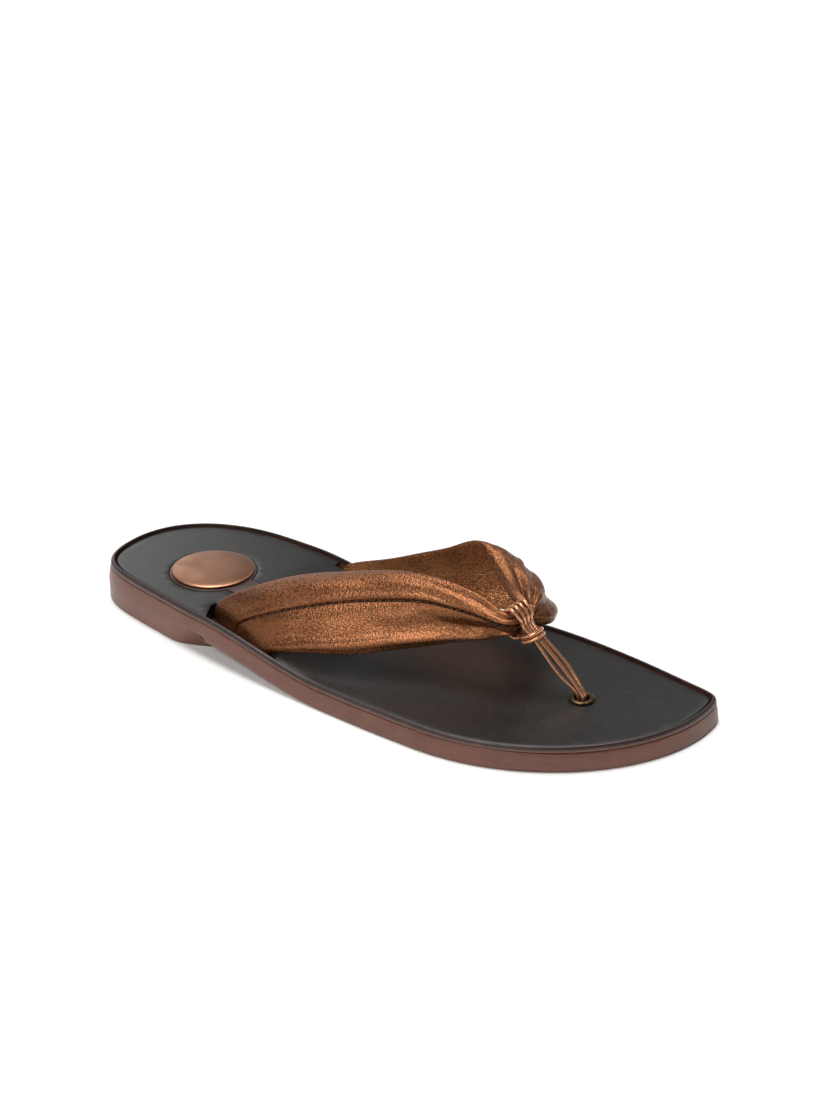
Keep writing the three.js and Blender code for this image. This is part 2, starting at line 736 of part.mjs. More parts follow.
add("outsole", outsole(), looks.mouldedBrown);
add("rim_band", rimBand(), looks.darkRim);
add("bottom_filler", filler(), looks.cork);
add("insole_board", board(), looks.fibreboard);
add("footbed_foam", foam(), looks.foam);
add("footbed_cover", cover(), looks.blackLeather);
add("keyhole_inlay", inlay(), looks.brownLeather);
add("medallion_cap", medallionCap(), looks.copper);
add("medallion_rivet", rivet(), looks.steel);
add("medallion_washer", washer(medallion, rivetDiameter + 2 * bondGap, washerDiameter), looks.steel);
add("toe_eyelet", eyelet(), looks.antiqueBrass);
add("toe_eyelet_washer", washer(toeHole, toeHoleDiameter, anchorDiameter), looks.antiqueBrass);
add("thong_anchor", anchor(), looks.steel);
add("strap_rear_panel", rearPanel(), looks.bronzeLeather);
add("strap_front_panel", frontPanel(), looks.bronzeLeather);
add("strap_lining", lining(), looks.liningLeather);
add("seam_thread", seamThread(), looks.thread);
for (let i = 0; i < cordCount; i++) add(`thong_cord_${i + 1}`, cord(i), looks.cordLeather);
for (let i = 0; i < wrapTurns; i++) add(`thong_wrap_${i + 1}`, wrapTurn(i), looks.cordLeather);

export default sandal;
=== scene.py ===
import math

import bmesh
import bpy
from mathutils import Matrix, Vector, geometry, noise


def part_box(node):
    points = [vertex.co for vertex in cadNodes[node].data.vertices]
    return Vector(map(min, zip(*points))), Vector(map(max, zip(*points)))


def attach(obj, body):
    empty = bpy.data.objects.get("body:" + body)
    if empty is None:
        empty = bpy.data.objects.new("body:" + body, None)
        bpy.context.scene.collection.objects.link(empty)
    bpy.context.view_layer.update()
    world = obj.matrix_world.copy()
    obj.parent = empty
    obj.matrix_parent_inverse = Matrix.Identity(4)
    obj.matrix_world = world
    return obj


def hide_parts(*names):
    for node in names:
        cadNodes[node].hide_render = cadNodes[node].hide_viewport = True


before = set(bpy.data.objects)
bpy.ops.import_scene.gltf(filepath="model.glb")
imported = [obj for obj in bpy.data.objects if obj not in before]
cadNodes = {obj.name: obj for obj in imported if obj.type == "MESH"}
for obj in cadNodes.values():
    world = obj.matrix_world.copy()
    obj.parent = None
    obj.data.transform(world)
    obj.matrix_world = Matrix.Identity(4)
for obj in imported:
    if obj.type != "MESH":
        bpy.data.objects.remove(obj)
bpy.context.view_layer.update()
print("frame loaded:", len(cadNodes), "nodes")

# Lengths in this script are millimetres; a finished mesh is scaled to metres once.
toMetres = 0.001
outerSide, innerSide = -1, 1


def boxOf(node):
    low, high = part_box(node)
    return low / toMetres, high / toMetres


def smooth(t):
    t = min(max(t, 0.0), 1.0)
    return t * t * (3 - 2 * t)


def mix(a, b, t):
    return a + (b - a) * t


def addObject(name, data):
    made = bpy.data.objects.new(name, data)
    bpy.context.scene.collection.objects.link(made)
    return made


# the camera, in metres and millimetres of lens
view = {
    "place": (0.44894, -0.60845, 0.41599),
    "target": (-0.04635, 0.08591, 0.0),
    "lens": 71.74,
    "sensor": 36,
    "nearest": 0.01,
}


def aim(thing, place, target):
    thing.location = Vector(place)
    thing.rotation_euler = (Vector(target) - Vector(place)).to_track_quat("-Z", "Y").to_euler()


cameraData = bpy.data.cameras.new("camera")
cameraData.lens = view["lens"]
cameraData.sensor_width = view["sensor"]
cameraData.clip_start = view["nearest"]
camera = addObject("camera", cameraData)
aim(camera, view["place"], view["target"])
bpy.context.scene.camera = camera
bpy.context.scene.view_settings.view_transform = "Standard"

softSky = {"towards": (-0.15, 0.12, 1.0), "spreadDegrees": 42, "strength": 3.2}
softLights = {
    "behind": {"place": (-1.15, 0.75, 0.62), "size": (0.6, 0.5), "power": 1.7},
    "toe": {"place": (-0.22, 1.1, 0.85), "size": (0.3, 0.3), "power": 0.55},
    "left": {"place": (-0.8, -0.8, 0.6), "size": (0.4, 0.3), "power": 1.2},
    "front": {"place": (0.1, -1.0, 0.85), "size": (0.6, 0.35), "power": 7.0},
}
lightTarget = (0, 0, 0.01)
for name, light in softLights.items():
    data = bpy.data.lights.new(name, "AREA")
    data.shape = "RECTANGLE"
    data.size, data.size_y = light["size"]
    data.energy = light["power"]
    aim(addObject(name, data), light["place"], lightTarget)

sunData = bpy.data.lights.new("softSky", "SUN")
sunData.energy = softSky["strength"]
sunData.angle = math.radians(softSky["spreadDegrees"])
aim(addObject("softSky", sunData), softSky["towards"], (0, 0, 0))


# sRGB hex to linear
def linear(hexColour):
    parts = [int(hexColour[i : i + 2], 16) / 255 for i in (1, 3, 5)]
    return tuple(c / 12.92 if c <= 0.04045 else ((c + 0.055) / 1.055) ** 2.4 for c in parts) + (1,)


def addNode(tree, kind, inputs=None, **settings):
    node = tree.nodes.new(kind)
    for name, value in settings.items():
        setattr(node, name, value)
    for name, value in (inputs or {}).items():
        if isinstance(value, bpy.types.NodeSocket):
            tree.links.new(value, node.inputs[name])
        else:
            node.inputs[name].default_value = value
    return node


world = bpy.data.worlds.new("studio")
world.use_nodes = True
background = world.node_tree.nodes["Background"]
background.inputs["Color"].default_value = (1, 1, 1, 1)
direction = addNode(world.node_tree, "ShaderNodeTexCoord").outputs["Generated"]
upward = addNode(world.node_tree, "ShaderNodeSeparateXYZ", {"Vector": direction}).outputs["Z"]
# pale to about 7 degrees above the horizon, then dimmer, so that dark leather stays dark
fading = {"From Min": 0.12, "From Max": 0.3, "To Min": 0.95, "To Max": 0.13}
glow = addNode(world.node_tree, "ShaderNodeMapRange", {"Value": upward, **fading})
world.node_tree.links.new(glow.outputs["Result"], background.inputs["Strength"])
bpy.context.scene.world = world


def newMaterial(name, hexColour, roughness, metallic=0.0, ior=1.5):
    material = bpy.data.materials.new(name)
    material.use_nodes = True
    tree = material.node_tree
    shader = tree.nodes["Principled BSDF"]
    shader.inputs["Base Color"].default_value = linear(hexColour)
    shader.inputs["Roughness"].default_value = roughness
    shader.inputs["Metallic"].default_value = metallic
    shader.inputs["IOR"].default_value = ior
    material.diffuse_color = linear(hexColour)
    return material, tree, shader


# texture scale whose pattern repeats about every so many millimetres
def perMetre(millimetres):
    return 1 / (millimetres * toMetres)


def objectCoords(tree, stretch=(1, 1, 1)):
    coords = addNode(tree, "ShaderNodeTexCoord").outputs["Object"]
    mapping = addNode(tree, "ShaderNodeMapping", {"Vector": coords, "Scale": stretch})
    return mapping.outputs["Vector"]


def noiseOf(tree, coords, size, detail=3.0, roughness=0.5):
    return addNode(tree, "ShaderNodeTexNoise", {
        "Vector": coords, "Scale": perMetre(size), "Detail": detail, "Roughness": roughness,
    }).outputs["Fac"]


def spread(tree, value, low, high, fromLow=0.3, fromHigh=0.7):
    return addNode(tree, "ShaderNodeMapRange", {
        "Value": value, "From Min": fromLow, "From Max": fromHigh, "To Min": low, "To Max": high,
    }).outputs["Result"]


# a Mix node's colour sockets; its other kinds of socket have the same names, so these go by number
mixSocket = {"first": 6, "second": 7, "result": 2}


def blendColours(tree, factor, first, second):
    node = addNode(tree, "ShaderNodeMix", {"Factor": factor}, data_type="RGBA")
    for index, value in ((mixSocket["first"], first), (mixSocket["second"], second)):
        if isinstance(value, bpy.types.NodeSocket):
            tree.links.new(value, node.inputs[index])
        else:
            node.inputs[index].default_value = linear(value)
    return node.outputs[mixSocket["result"]]


def mottle(tree, pattern, light, dark):
    return blendColours(tree, spread(tree, pattern, 0, 1), light, dark)


# height 0 to 1 over a depth in millimetres
def bump(tree, shader, height, depth, strength=1.0, under=None):
    inputs = {"Height": height, "Distance": depth * toMetres, "Strength": strength}
    if under is not None:
        inputs["Normal"] = under
    normal = addNode(tree, "ShaderNodeBump", inputs).outputs["Normal"]
    tree.links.new(normal, shader.inputs["Normal"])
    return normal


def dress(tree, shader, colour, roughness):
    tree.links.new(colour, shader.inputs["Base Color"])
    tree.links.new(roughness, shader.inputs["Roughness"])


# Moulded sole, sprayed brown and burnished: satin, cloudy, with fine mould grain.
def makeMouldedSole():
    material, tree, shader = newMaterial("mouldedSole", "#5c3e32", 0.4)
    coords = objectCoords(tree)
    cloud = noiseOf(tree, coords, 16, 4, 0.6)
    streaks = noiseOf(tree, objectCoords(tree, (0.25, 0.25, 2.2)), 2.4, 3, 0.6)
    base = mottle(tree, cloud, "#64392a", "#4a261b")
    base = blendColours(tree, spread(tree, streaks, 0, 0.45), base, "#734a3a")
    dress(tree, shader, base, spread(tree, streaks, 0.3, 0.46))
    grain = noiseOf(tree, coords, 0.7, 3)
    low = bump(tree, shader, grain, 0.03)
    bump(tree, shader, noiseOf(tree, coords, 5, 2), 0.16, 0.5, low)
    return material


# Edge paint on the rim: dark, thick, glossier than the side.
def makeEdgePaint():
    material, tree, shader = newMaterial("edgePaint", "#2a1813", 0.34)
    coords = objectCoords(tree)
    cloud = noiseOf(tree, coords, 9, 4)
    base = mottle(tree, cloud, "#2a1711", "#190d0a")
    stain = addNode(tree, "ShaderNodeAttribute", attribute_name="stain").outputs["Fac"]
    uneven = spread(tree, noiseOf(tree, coords, 3, 3), -0.2, 0.2)
    ragged = addNode(tree, "ShaderNodeMath", {0: stain, 1: uneven}, operation="ADD").outputs[0]
    base = blendColours(tree, spread(tree, ragged, 0, 1, 0.1, 0.9), "#5c3a2c", base)
    dress(tree, shader, base, spread(tree, cloud, 0.34, 0.46))
    bump(tree, shader, noiseOf(tree, coords, 1.6, 3), 0.04)
    return material


# Drum-dyed calf leather, plated flat: fine closed pores, satin.
def makeFootbedLeather(name, light, dark, roughness):
    material, tree, shader = newMaterial(name, light, roughness)
    coords = objectCoords(tree)
    cloud = noiseOf(tree, coords, 14, 5, 0.65)
    base = mottle(tree, cloud, light, dark)
    # real pores are near 0.2 mm; drawn at 1.2 mm, in the gloss alone, so that they show
    pores = noiseOf(tree, coords, 1.2, 2)
    dress(tree, shader, base, spread(tree, pores, roughness - 0.03, roughness + 0.05))
    bump(tree, shader, noiseOf(tree, coords, 9, 2), 0.03)
    return material


# Foiled goat leather: bronze foil over a pebbled grain, so it is part metal. Creases are painted
# darker as shade, from the stored fold height, and ridges keep the lighter base colour.
def makeFoiledLeather(name, light, middle, dark, roughness, grainDepth, metallic=0.6):
    material, tree, shader = newMaterial(name, middle, roughness, metallic)
    coords = objectCoords(tree)
    folds = addNode(tree, "ShaderNodeAttribute", attribute_name="foldHeight").outputs["Fac"]
    cloud = noiseOf(tree, coords, 11, 4, 0.6)
    base = mottle(tree, cloud, light, middle)
    # real grain cells are near 0.4 mm; drawn at 0.8 mm so that they show
    cells = addNode(tree, "ShaderNodeTexVoronoi", {
        "Vector": coords, "Scale": perMetre(0.8), "Randomness": 1.0}, feature="F1")
    between = spread(tree, cells.outputs["Distance"], 0, 0.55, 0.3, 0.85)
    base = blendColours(tree, between, base, dark)
    glints = noiseOf(tree, coords, 0.9, 2, 0.7)
    # painted shade: the colour goes to dark where the fold height is low, in the creases
    base = blendColours(tree, spread(tree, folds, 1, 0, 0.0, 0.45), base, dark)
    dress(tree, shader, base, spread(tree, glints, roughness - 0.1, roughness + 0.12))
    pebbles = spread(tree, cells.outputs["Distance"], 1, 0, 0.1, 0.8)
    under = bump(tree, shader, pebbles, grainDepth)
    bump(tree, shader, noiseOf(tree, coords, 4, 2, 0.5), 0.2, 0.4, under)
    return material


# Cut and rolled laces of the same foiled leather: glossier, with lengthwise streaks.
def makeLaceLeather():
    material, tree, shader = newMaterial("laceLeather", "#c08a64", 0.24, 0.85)
    surface = addNode(tree, "ShaderNodeTexCoord").outputs["UV"]
    along = addNode(tree, "ShaderNodeMapping", {"Vector": surface, "Scale": (2, 3, 1)})
    streaks = addNode(tree, "ShaderNodeTexNoise", {
        "Vector": along.outputs["Vector"], "Scale": 1.6, "Detail": 3.0, "Roughness": 0.6,
    }).outputs["Fac"]
    base = mottle(tree, streaks, "#e8b088", "#a66a48")
    dress(tree, shader, base, spread(tree, streaks, 0.2, 0.3))
    bump(tree, shader, streaks, 0.02)
    return material


# Pressed copper plate, satin polished: faint turning marks round its centre.
def makeCopper(centre):
    material, tree, shader = newMaterial("satinCopper", "#9a6f58", 0.34, 1.0)
    coords = addNode(tree, "ShaderNodeTexCoord").outputs["Object"]
    shifted = addNode(tree, "ShaderNodeMapping", {
        "Vector": coords, "Location": [-c * toMetres for c in centre]}).outputs["Vector"]
    rings = addNode(tree, "ShaderNodeTexWave", {
        "Vector": shifted, "Scale": perMetre(0.35) / 20, "Distortion": 1.5, "Detail": 2.0},
        wave_type="RINGS", rings_direction="Z").outputs["Fac"]
    cloud = noiseOf(tree, coords, 9, 3)
    base = mottle(tree, cloud, "#a0745a", "#8c614c")
    dress(tree, shader, base, spread(tree, cloud, 0.3, 0.4))
    bump(tree, shader, rings, 0.006)
    return material


# Antique brass plating: dark in the hollows, rubbed brighter.
def makeAntiqueBrass():
    material, tree, shader = newMaterial("antiqueBrass", "#6b563a", 0.36, 0.9)
    coords = objectCoords(tree)
    patina = noiseOf(tree, coords, 1.8, 4, 0.6)
    base = mottle(tree, patina, "#5f4c30", "#2a2013")
    dress(tree, shader, base, spread(tree, patina, 0.26, 0.5))
    bump(tree, shader, patina, 0.02)
    return material


# Zinc-plated steel of the hidden rivet, washer and plate.
def makeSteel():
    material, tree, shader = newMaterial("zincSteel", "#9a9a98", 0.4, 0.9)
    spangle = noiseOf(tree, objectCoords(tree), 1.2, 3)
    tree.links.new(spread(tree, spangle, 0.32, 0.5), shader.inputs["Roughness"])
    bump(tree, shader, spangle, 0.01)
    return material


# Hidden layers: fibrous or foamed, matt, mottled at their own grain size.
def makeLayer(name, light, dark, grain, depth):
    material, tree, shader = newMaterial(name, light, 0.85)
    coords = objectCoords(tree)
    grains = noiseOf(tree, coords, grain, 4, 0.7)
    base = mottle(tree, grains, light, dark)
    tree.links.new(base, shader.inputs["Base Color"])
    bump(tree, shader, grains, depth)
    return material


# Bonded nylon sewing thread: twisted, with a low sheen.
def makeThread():
    material, tree, shader = newMaterial("bondedThread", "#3d2417", 0.5)
    twist = noiseOf(tree, objectCoords(tree, (1, 2.4, 2.4)), 0.4, 2)
    base = mottle(tree, twist, "#4c2e1e", "#2b1810")
    tree.links.new(base, shader.inputs["Base Color"])
    bump(tree, shader, twist, 0.05)
    return material


# Painted studio floor, matt.
def makeFloor():
    material, _, shader = newMaterial("studioFloor", "#f2f1ef", 0.7)
    shader.inputs["Specular IOR Level"].default_value = 0.2
    return material


soleLow, soleHigh = boxOf("outsole")
rimHigh = boxOf("rim_band")[1]
coverHigh = boxOf("footbed_cover")[1]
medalLow, medalHigh = boxOf("medallion_cap")
eyeletLow, eyeletHigh = boxOf("toe_eyelet")
heelEnd, toeTip = soleLow.x, soleHigh.x
medalCentre = (medalLow + medalHigh) / 2
eyeletCentre = (eyeletLow + eyeletHigh) / 2

sole = {
    "ballWidth": soleHigh.y - soleLow.y, "ballFromToe": 81, "heelOuter": 35.4, "heelInner": 40.2,
    "heelFromBack": 51, "archDepth": 11.2, "archFromBack": 121, "toeTipInward": 24,
    "toeCornerFromTip": 19, "toeCornerIn": 7.4,
    "heelLift": 7, "liftFromBack": 70, "liftStartFromBack": 136, "breastFromBack": 73,
    "breastSlope": 4, "heelTuck": 9, "heelTuckRun": 24, "edgeRound": 1.0,
    "floor": 2.5, "wallDraft": 1.0, "rimWidth": 1.7, "groove": 1.0, "gap": 0.3,
    "bandHeight": 2.5, "slice": 4,
}
lastLift = sole["heelLift"]
rimTop = rimHigh.z - lastLift
coverTop = coverHigh.z - lastLift
coverThick = 1.0
wallTop = rimTop - sole["bandHeight"]
rimInset = sole["wallDraft"] + sole["rimWidth"]
breast = heelEnd + sole["breastFromBack"]


def lift(x):
    run = sole["liftStartFromBack"] - sole["liftFromBack"]
    return lastLift * smooth((heelEnd + sole["liftStartFromBack"] - x) / run)


halfBall = sole["ballWidth"] / 2
sideHandles = {
    outerSide: [
        ((heelEnd, 0), (0, -1), 0, 28),
        ((heelEnd + sole["heelFromBack"], -sole["heelOuter"]), (1, -0.22), 36, 30),
        ((toeTip - sole["ballFromToe"], -halfBall), (1, 0), 36, 44),
        ((toeTip, sole["toeTipInward"]), (0, 1), 37, 0),
    ],
    innerSide: [
        ((heelEnd, 0), (0, 1), 0, 25),
        ((heelEnd + sole["heelFromBack"], sole["heelInner"]), (1, 0), 30, 24),
        ((heelEnd + sole["archFromBack"], halfBall - sole["archDepth"]), (1, 0), 24, 24),
        ((toeTip - sole["ballFromToe"], halfBall), (1, 0), 26, 22),
        ((toeTip - sole["toeCornerFromTip"], halfBall - sole["toeCornerIn"]), (1, -0.2), 20, 16),
        ((toeTip, sole["toeTipInward"]), (0, -1), 15, 0),
    ],
}


def sideRun(side, steps=44):
    handles = sideHandles[side]
    points = []
    for (start, startDir, _, out), (end, endDir, into, _) in zip(handles, handles[1:]):
        start, end = Vector(start).to_3d(), Vector(end).to_3d()
        first = start + Vector(startDir).to_3d().normalized() * out
        second = end - Vector(endDir).to_3d().normalized() * into
        points += geometry.interpolate_bezier(start, first, second, end, steps)[:-1]
    return points + [Vector(handles[-1][0]).to_3d()]


sideRuns = {side: sideRun(side) for side in (outerSide, innerSide)}


def edgeY(side, x):
    run = sideRuns[side]
    for a, b in zip(run, run[1:]):
        if a.x <= x <= b.x:
            return mix(a.y, b.y, (x - a.x) / max(b.x - a.x, 1e-9))
    return run[-1].y


# Slots where the straps go down beside the footbed.
slots = {
    outerSide: {"rear": heelEnd + 67, "front": heelEnd + 107, "rearInset": 13, "frontInset": 5.8},
    innerSide: {"rear": heelEnd + 85, "front": heelEnd + 125, "rearInset": 5.8, "frontInset": 5.8},
}
slotEndRoom = 1.5
pastStrap = 1.35  # from a strap's middle to the edge of the layer beside it


def slotInset(side, x):
    slot = slots[side]
    t = min(max((x - slot["rear"]) / (slot["front"] - slot["rear"]), 0), 1)
    return mix(slot["rearInset"], slot["frontInset"], t)


outlineSteps = {"besideSlotEnd": 0.12, "nearest": 0.05}


def makeOutline():
    stops = [breast, breast - sole["breastSlope"]]
    beside = outlineSteps["besideSlotEnd"]
    for slot in slots.values():
        for x in (slot["rear"] - slotEndRoom, slot["front"] + slotEndRoom):
            stops += [x - beside, x + beside]
    loop = []
    for side in (outerSide, innerSide):
        run = [(p.x, p.y) for p in sideRuns[side]]
        run += [(x, edgeY(side, x)) for x in stops]
        run = sorted(run, key=lambda p: (p[0], p[1] * side if p[0] > toeTip - 1 else 0))
        points = [run[0]]
        for p in run[1:]:
            if math.dist(p, points[-1]) > outlineSteps["nearest"]:
                points.append(p)
        if side == innerSide:
            points = points[1:-1][::-1]
        loop += [(Vector((x, y)), side) for x, y in points]
    normals = []
    for i, (p, side) in enumerate(loop):
        along = loop[(i + 1) % len(loop)][0] - loop[i - 1][0]
        normals.append(Vector((along.y, -along.x)).normalized())
    return [(p, n, side) for (p, side), n in zip(loop, normals)]


outline = makeOutline()


# a loop of points moved in from the outline; with past it steps in beside the straps
def ring(inset, height, past=None):
    points = []
    for p, normal, side in outline:
        slot = slots[side]
        if past is not None and slot["rear"] - slotEndRoom < p.x < slot["front"] + slotEndRoom:
            points.append(Vector((p.x, p.y - side * (slotInset(side, p.x) + past), height)))
            continue
        d = inset(p.x) if callable(inset) else inset
        points.append(Vector((p.x - normal.x * d, p.y - normal.y * d, height)))
    return points


# a bmesh in millimetres becomes a finished piece that rides on the body
def finishPiece(bm, name, material, replaced, sharpAngle):
    bmesh.ops.remove_doubles(bm, verts=bm.verts, dist=1e-4)
    bmesh.ops.recalc_face_normals(bm, faces=bm.faces)
    bmesh.ops.scale(bm, vec=(toMetres,) * 3, verts=bm.verts)
    mesh = bpy.data.meshes.new(name)
    bm.to_mesh(mesh)
    bm.free()
    mesh.shade_smooth()
    mesh.set_sharp_from_angle(angle=math.radians(sharpAngle))
    mesh.materials.append(material)
    piece = addObject(name, mesh)
    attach(piece, "root")
    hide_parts(*replaced)
    return piece


# a grid of faces shaped to rows of points; a closed one joins its last column to its first
def shapeGrid(bm, rows, aroundClosed=False):
    if aroundClosed:
        rows = [[*row, row[0]] for row in rows]
    columns = len(rows[0])
    made = bmesh.ops.create_grid(bm, x_segments=columns - 1, y_segments=len(rows) - 1, size=1,
                                 calc_uvs=True)
    for vert, point in zip(made["verts"], (p for row in rows for p in row)):
        vert.co = point
    bmesh.ops.remove_doubles(bm, verts=made["verts"], dist=1e-5)


def applyModifiers(piece):
    evaluated = piece.evaluated_get(bpy.context.evaluated_depsgraph_get())
    mesh = bpy.data.meshes.new_from_object(evaluated)
    piece.modifiers.clear()
    piece.data = mesh


forward, sideward = Vector((1, 0, 0)), Vector((0, 1, 0))


def cutAt(bm, direction, distance):
    bmesh.ops.bisect_plane(bm, geom=[*bm.verts, *bm.edges, *bm.faces], dist=1e-4,
                           plane_co=direction * distance, plane_no=direction)


# cuts every face across at even steps, so that it can bend
def sliceAlong(bm, direction, low, high, step):
    for i in range(1, int((high - low) / step)):
        cutAt(bm, direction, low + i * step)


def roundEdges(bm, edges, by):
    bmesh.ops.bevel(bm, geom=edges, offset=by, offset_type="OFFSET", segments=3, profile=0.5,
                    affect="EDGES", material=-1)


# a turned shape; profile is (radius, height) pairs, and it closes on the axis
def spinProfile(profile, centre, steps):
    bm = bmesh.new()
    verts = [bm.verts.new((r, 0, z)) for r, z in profile]
    edges = [bm.edges.new(pair) for pair in zip(verts, verts[1:])]
    bmesh.ops.spin(bm, geom=[*verts, *edges], cent=(0, 0, 0), axis=(0, 0, 1),
                   angle=math.tau, steps=steps, use_merge=True)
    bmesh.ops.translate(bm, vec=centre, verts=bm.verts)
    return bm


def arc(centreR, centreZ, radius, startDeg, endDeg, steps):
    angles = [math.radians(mix(startDeg, endDeg, i / steps)) for i in range(steps + 1)]
    return [(centreR + radius * math.cos(a), centreZ + radius * math.sin(a)) for a in angles]


# height of the underside: the heel stands on the floor, the arch is lifted
def ground(x):
    front = (x - (breast - sole["breastSlope"])) / sole["breastSlope"]
    return lift(x) * min(max(front, 0), 1)


def tuck(x):
    if x > breast - sole["breastSlope"] / 2:
        return 0
    run = sole["heelTuckRun"]
    return sole["heelTuck"] * smooth((x - breast + run) / run) ** 1.5


def makeSole(material):
    edge, draft, gap = sole["edgeRound"], sole["wallDraft"], sole["gap"]
    bottomRings = [ring(lambda x, more=more: tuck(x) + more * edge, up * edge)
                   for more, up in ((1, 0), (0.55, 0.12), (0.25, 0.45), (0.12, 1))]
    wallRings = [ring(lambda x: 0.15 * tuck(x), 1.6 * edge)]
    wallRings += [ring(inset, height) for inset, height in (
        (0.08, 0.3 * wallTop), (0.22 * draft, 0.45 * wallTop), (0.5 * draft, 0.7 * wallTop),
        (draft - 0.15, wallTop - 0.75), (draft, wallTop - 0.3), (draft + 0.12, wallTop - 0.09),
        (draft + gap, wallTop), (rimInset - 0.1, wallTop), (rimInset, wallTop - 0.1),
        (rimInset, sole["floor"]))]
    bm = bmesh.new()
    shapeGrid(bm, bottomRings + wallRings, aroundClosed=True)
    rims = [e for e in bm.edges if e.is_boundary]
    bmesh.ops.contextual_create(bm, geom=[e for e in rims if e.verts[0].co.z < 0.01])
    bmesh.ops.contextual_create(bm, geom=[e for e in rims if e.verts[0].co.z > 1])
    sliceAlong(bm, forward, heelEnd, toeTip, sole["slice"])
    for x in (breast - sole["breastSlope"], breast - sole["breastSlope"] / 2, breast):
        cutAt(bm, forward, x)
    for v in bm.verts:
        v.co.z += ground(v.co.x) if v.co.z <= edge + 1e-3 else lift(v.co.x)
    finishPiece(bm, "soleBody", material, ["outsole"], 50)


def makeRim(material):
    draft, base = sole["wallDraft"], wallTop + sole["gap"]
    height = rimTop - base
    roll, foot = 0.95, 0.15  # width of the rounded outside and height of its straight foot
    profile = [(rimInset, base), (draft + 0.1, base)]
    profile += [(draft + roll * (1 - math.cos(a)), base + foot + (height - foot) * math.sin(a))
                for a in (math.radians(10 * i) for i in range(10))]
    profile += [(rimInset - inward, rimTop + up) for inward, up in (
        (0.5, 0.02), (0.3, 0.1), (0.14, 0.08), (0.04, -0.06), (0, -0.3))]
    rings = [ring(inset, z) for inset, z in profile]
    bm = bmesh.new()
    shapeGrid(bm, [*rings, rings[0]], aroundClosed=True)
    stain = bm.verts.layers.float.new("stain")  # 0 at the rim's foot to 1 where it is darkest
    stainFrom, stainFade = 0.2, 0.9
    for v in bm.verts:
        v[stain] = smooth((v.co.z - base - stainFrom) / (height - stainFade))
        v.co.z += lift(v.co.x)
    finishPiece(bm, "rimBand", material, ["rim_band"], 60)


footbed = {
    "edgeRound": 0.4, "slice": 3.5, "waves": 0.10, "waveSize": 34,
    "tongue": 5, "slotPast": 0.7, "slotStep": 2, "slotLap": 0.3, "postHole": 3.6,
}
inlay = {
    "border": 0.8, "tailWidth": 12.6, "tailLength": 50, "turn": 0.19, "proud": 0.12, "thick": 0.8,
    "edgeRound": 0.25, "slice": 2, "arcSteps": 72,
}


# disc with a straight strip that runs forward and outward, as a loop of points
def keyholeOutline(grow):
    radius = (medalHigh.x - medalLow.x) / 2 + inlay["border"] + grow
    half = inlay["tailWidth"] / 2 + grow
    along = Vector((math.cos(inlay["turn"]), -math.sin(inlay["turn"]), 0))
    across = Vector((-along.y, along.x, 0))
    start = math.asin(half / radius)
    points = []
    for i in range(inlay["arcSteps"] + 1):
        a = mix(start, math.tau - start, i / inlay["arcSteps"])
        points.append(along * (radius * math.cos(a)) + across * (radius * math.sin(a)))
    length = inlay["tailLength"] + grow
    points += [along * length - across * half, along * length + across * half]
    centre = Vector((medalCentre.x, medalCentre.y, 0))
    return [centre + p for p in points]


def prism(points, low, high):
    bm = bmesh.new()
    face = bm.faces.new([bm.verts.new((p.x, p.y, low)) for p in points])
    made = bmesh.ops.extrude_face_region(bm, geom=[face])
    top = [g for g in made["geom"] if isinstance(g, bmesh.types.BMVert)]
    bmesh.ops.translate(bm, vec=(0, 0, high - low), verts=top)
    bmesh.ops.recalc_face_normals(bm, faces=bm.faces)
    return bm


def plainObject(bm, name):
    mesh = bpy.data.meshes.new(name)
    bm.to_mesh(mesh)
    bm.free()
    return addObject(name, mesh)


# lifts a flat layer to the sole's rise, with the footbed's slight waves
def layOnSole(bm):
    for v in bm.verts:
        place = Vector((v.co.x, v.co.y, 3.0)) / footbed["waveSize"]
        v.co.z += lift(v.co.x) + footbed["waves"] * noise.noise(place)


# the footbed's edge; behind the outer strap it reaches out past the slot in a slanted tongue
def footbedBoundary():
    inset = rimInset + sole["groove"]
    points = []
    slotRear = slots[outerSide]["rear"]
    turned = False
    plainRing, steppedRing = ring(inset, 0), ring(inset, 0, past=pastStrap)
    for (p, _, side), plain, stepped in zip(outline, plainRing, steppedRing):
        if side == innerSide or p.x <= slotRear - slotEndRoom:
            points.append(stepped)
            continue
        if p.x < slotRear + footbed["tongue"]:
            points.append(plain)
            continue
        if not turned:  # from the tongue's tip back to the slot's rear end, then along the slot
            turned = True
            x, run = slotRear - footbed["slotPast"], []
            while x < p.x:
                y = edgeY(outerSide, x) + slotInset(outerSide, x) + pastStrap
                run.append(Vector((x, y, 0)))
                x += footbed["slotStep"]
            points += [run[0] - Vector((0, 2 * pastStrap + footbed["slotLap"], 0)), *run]
        points.append(stepped)
    return points


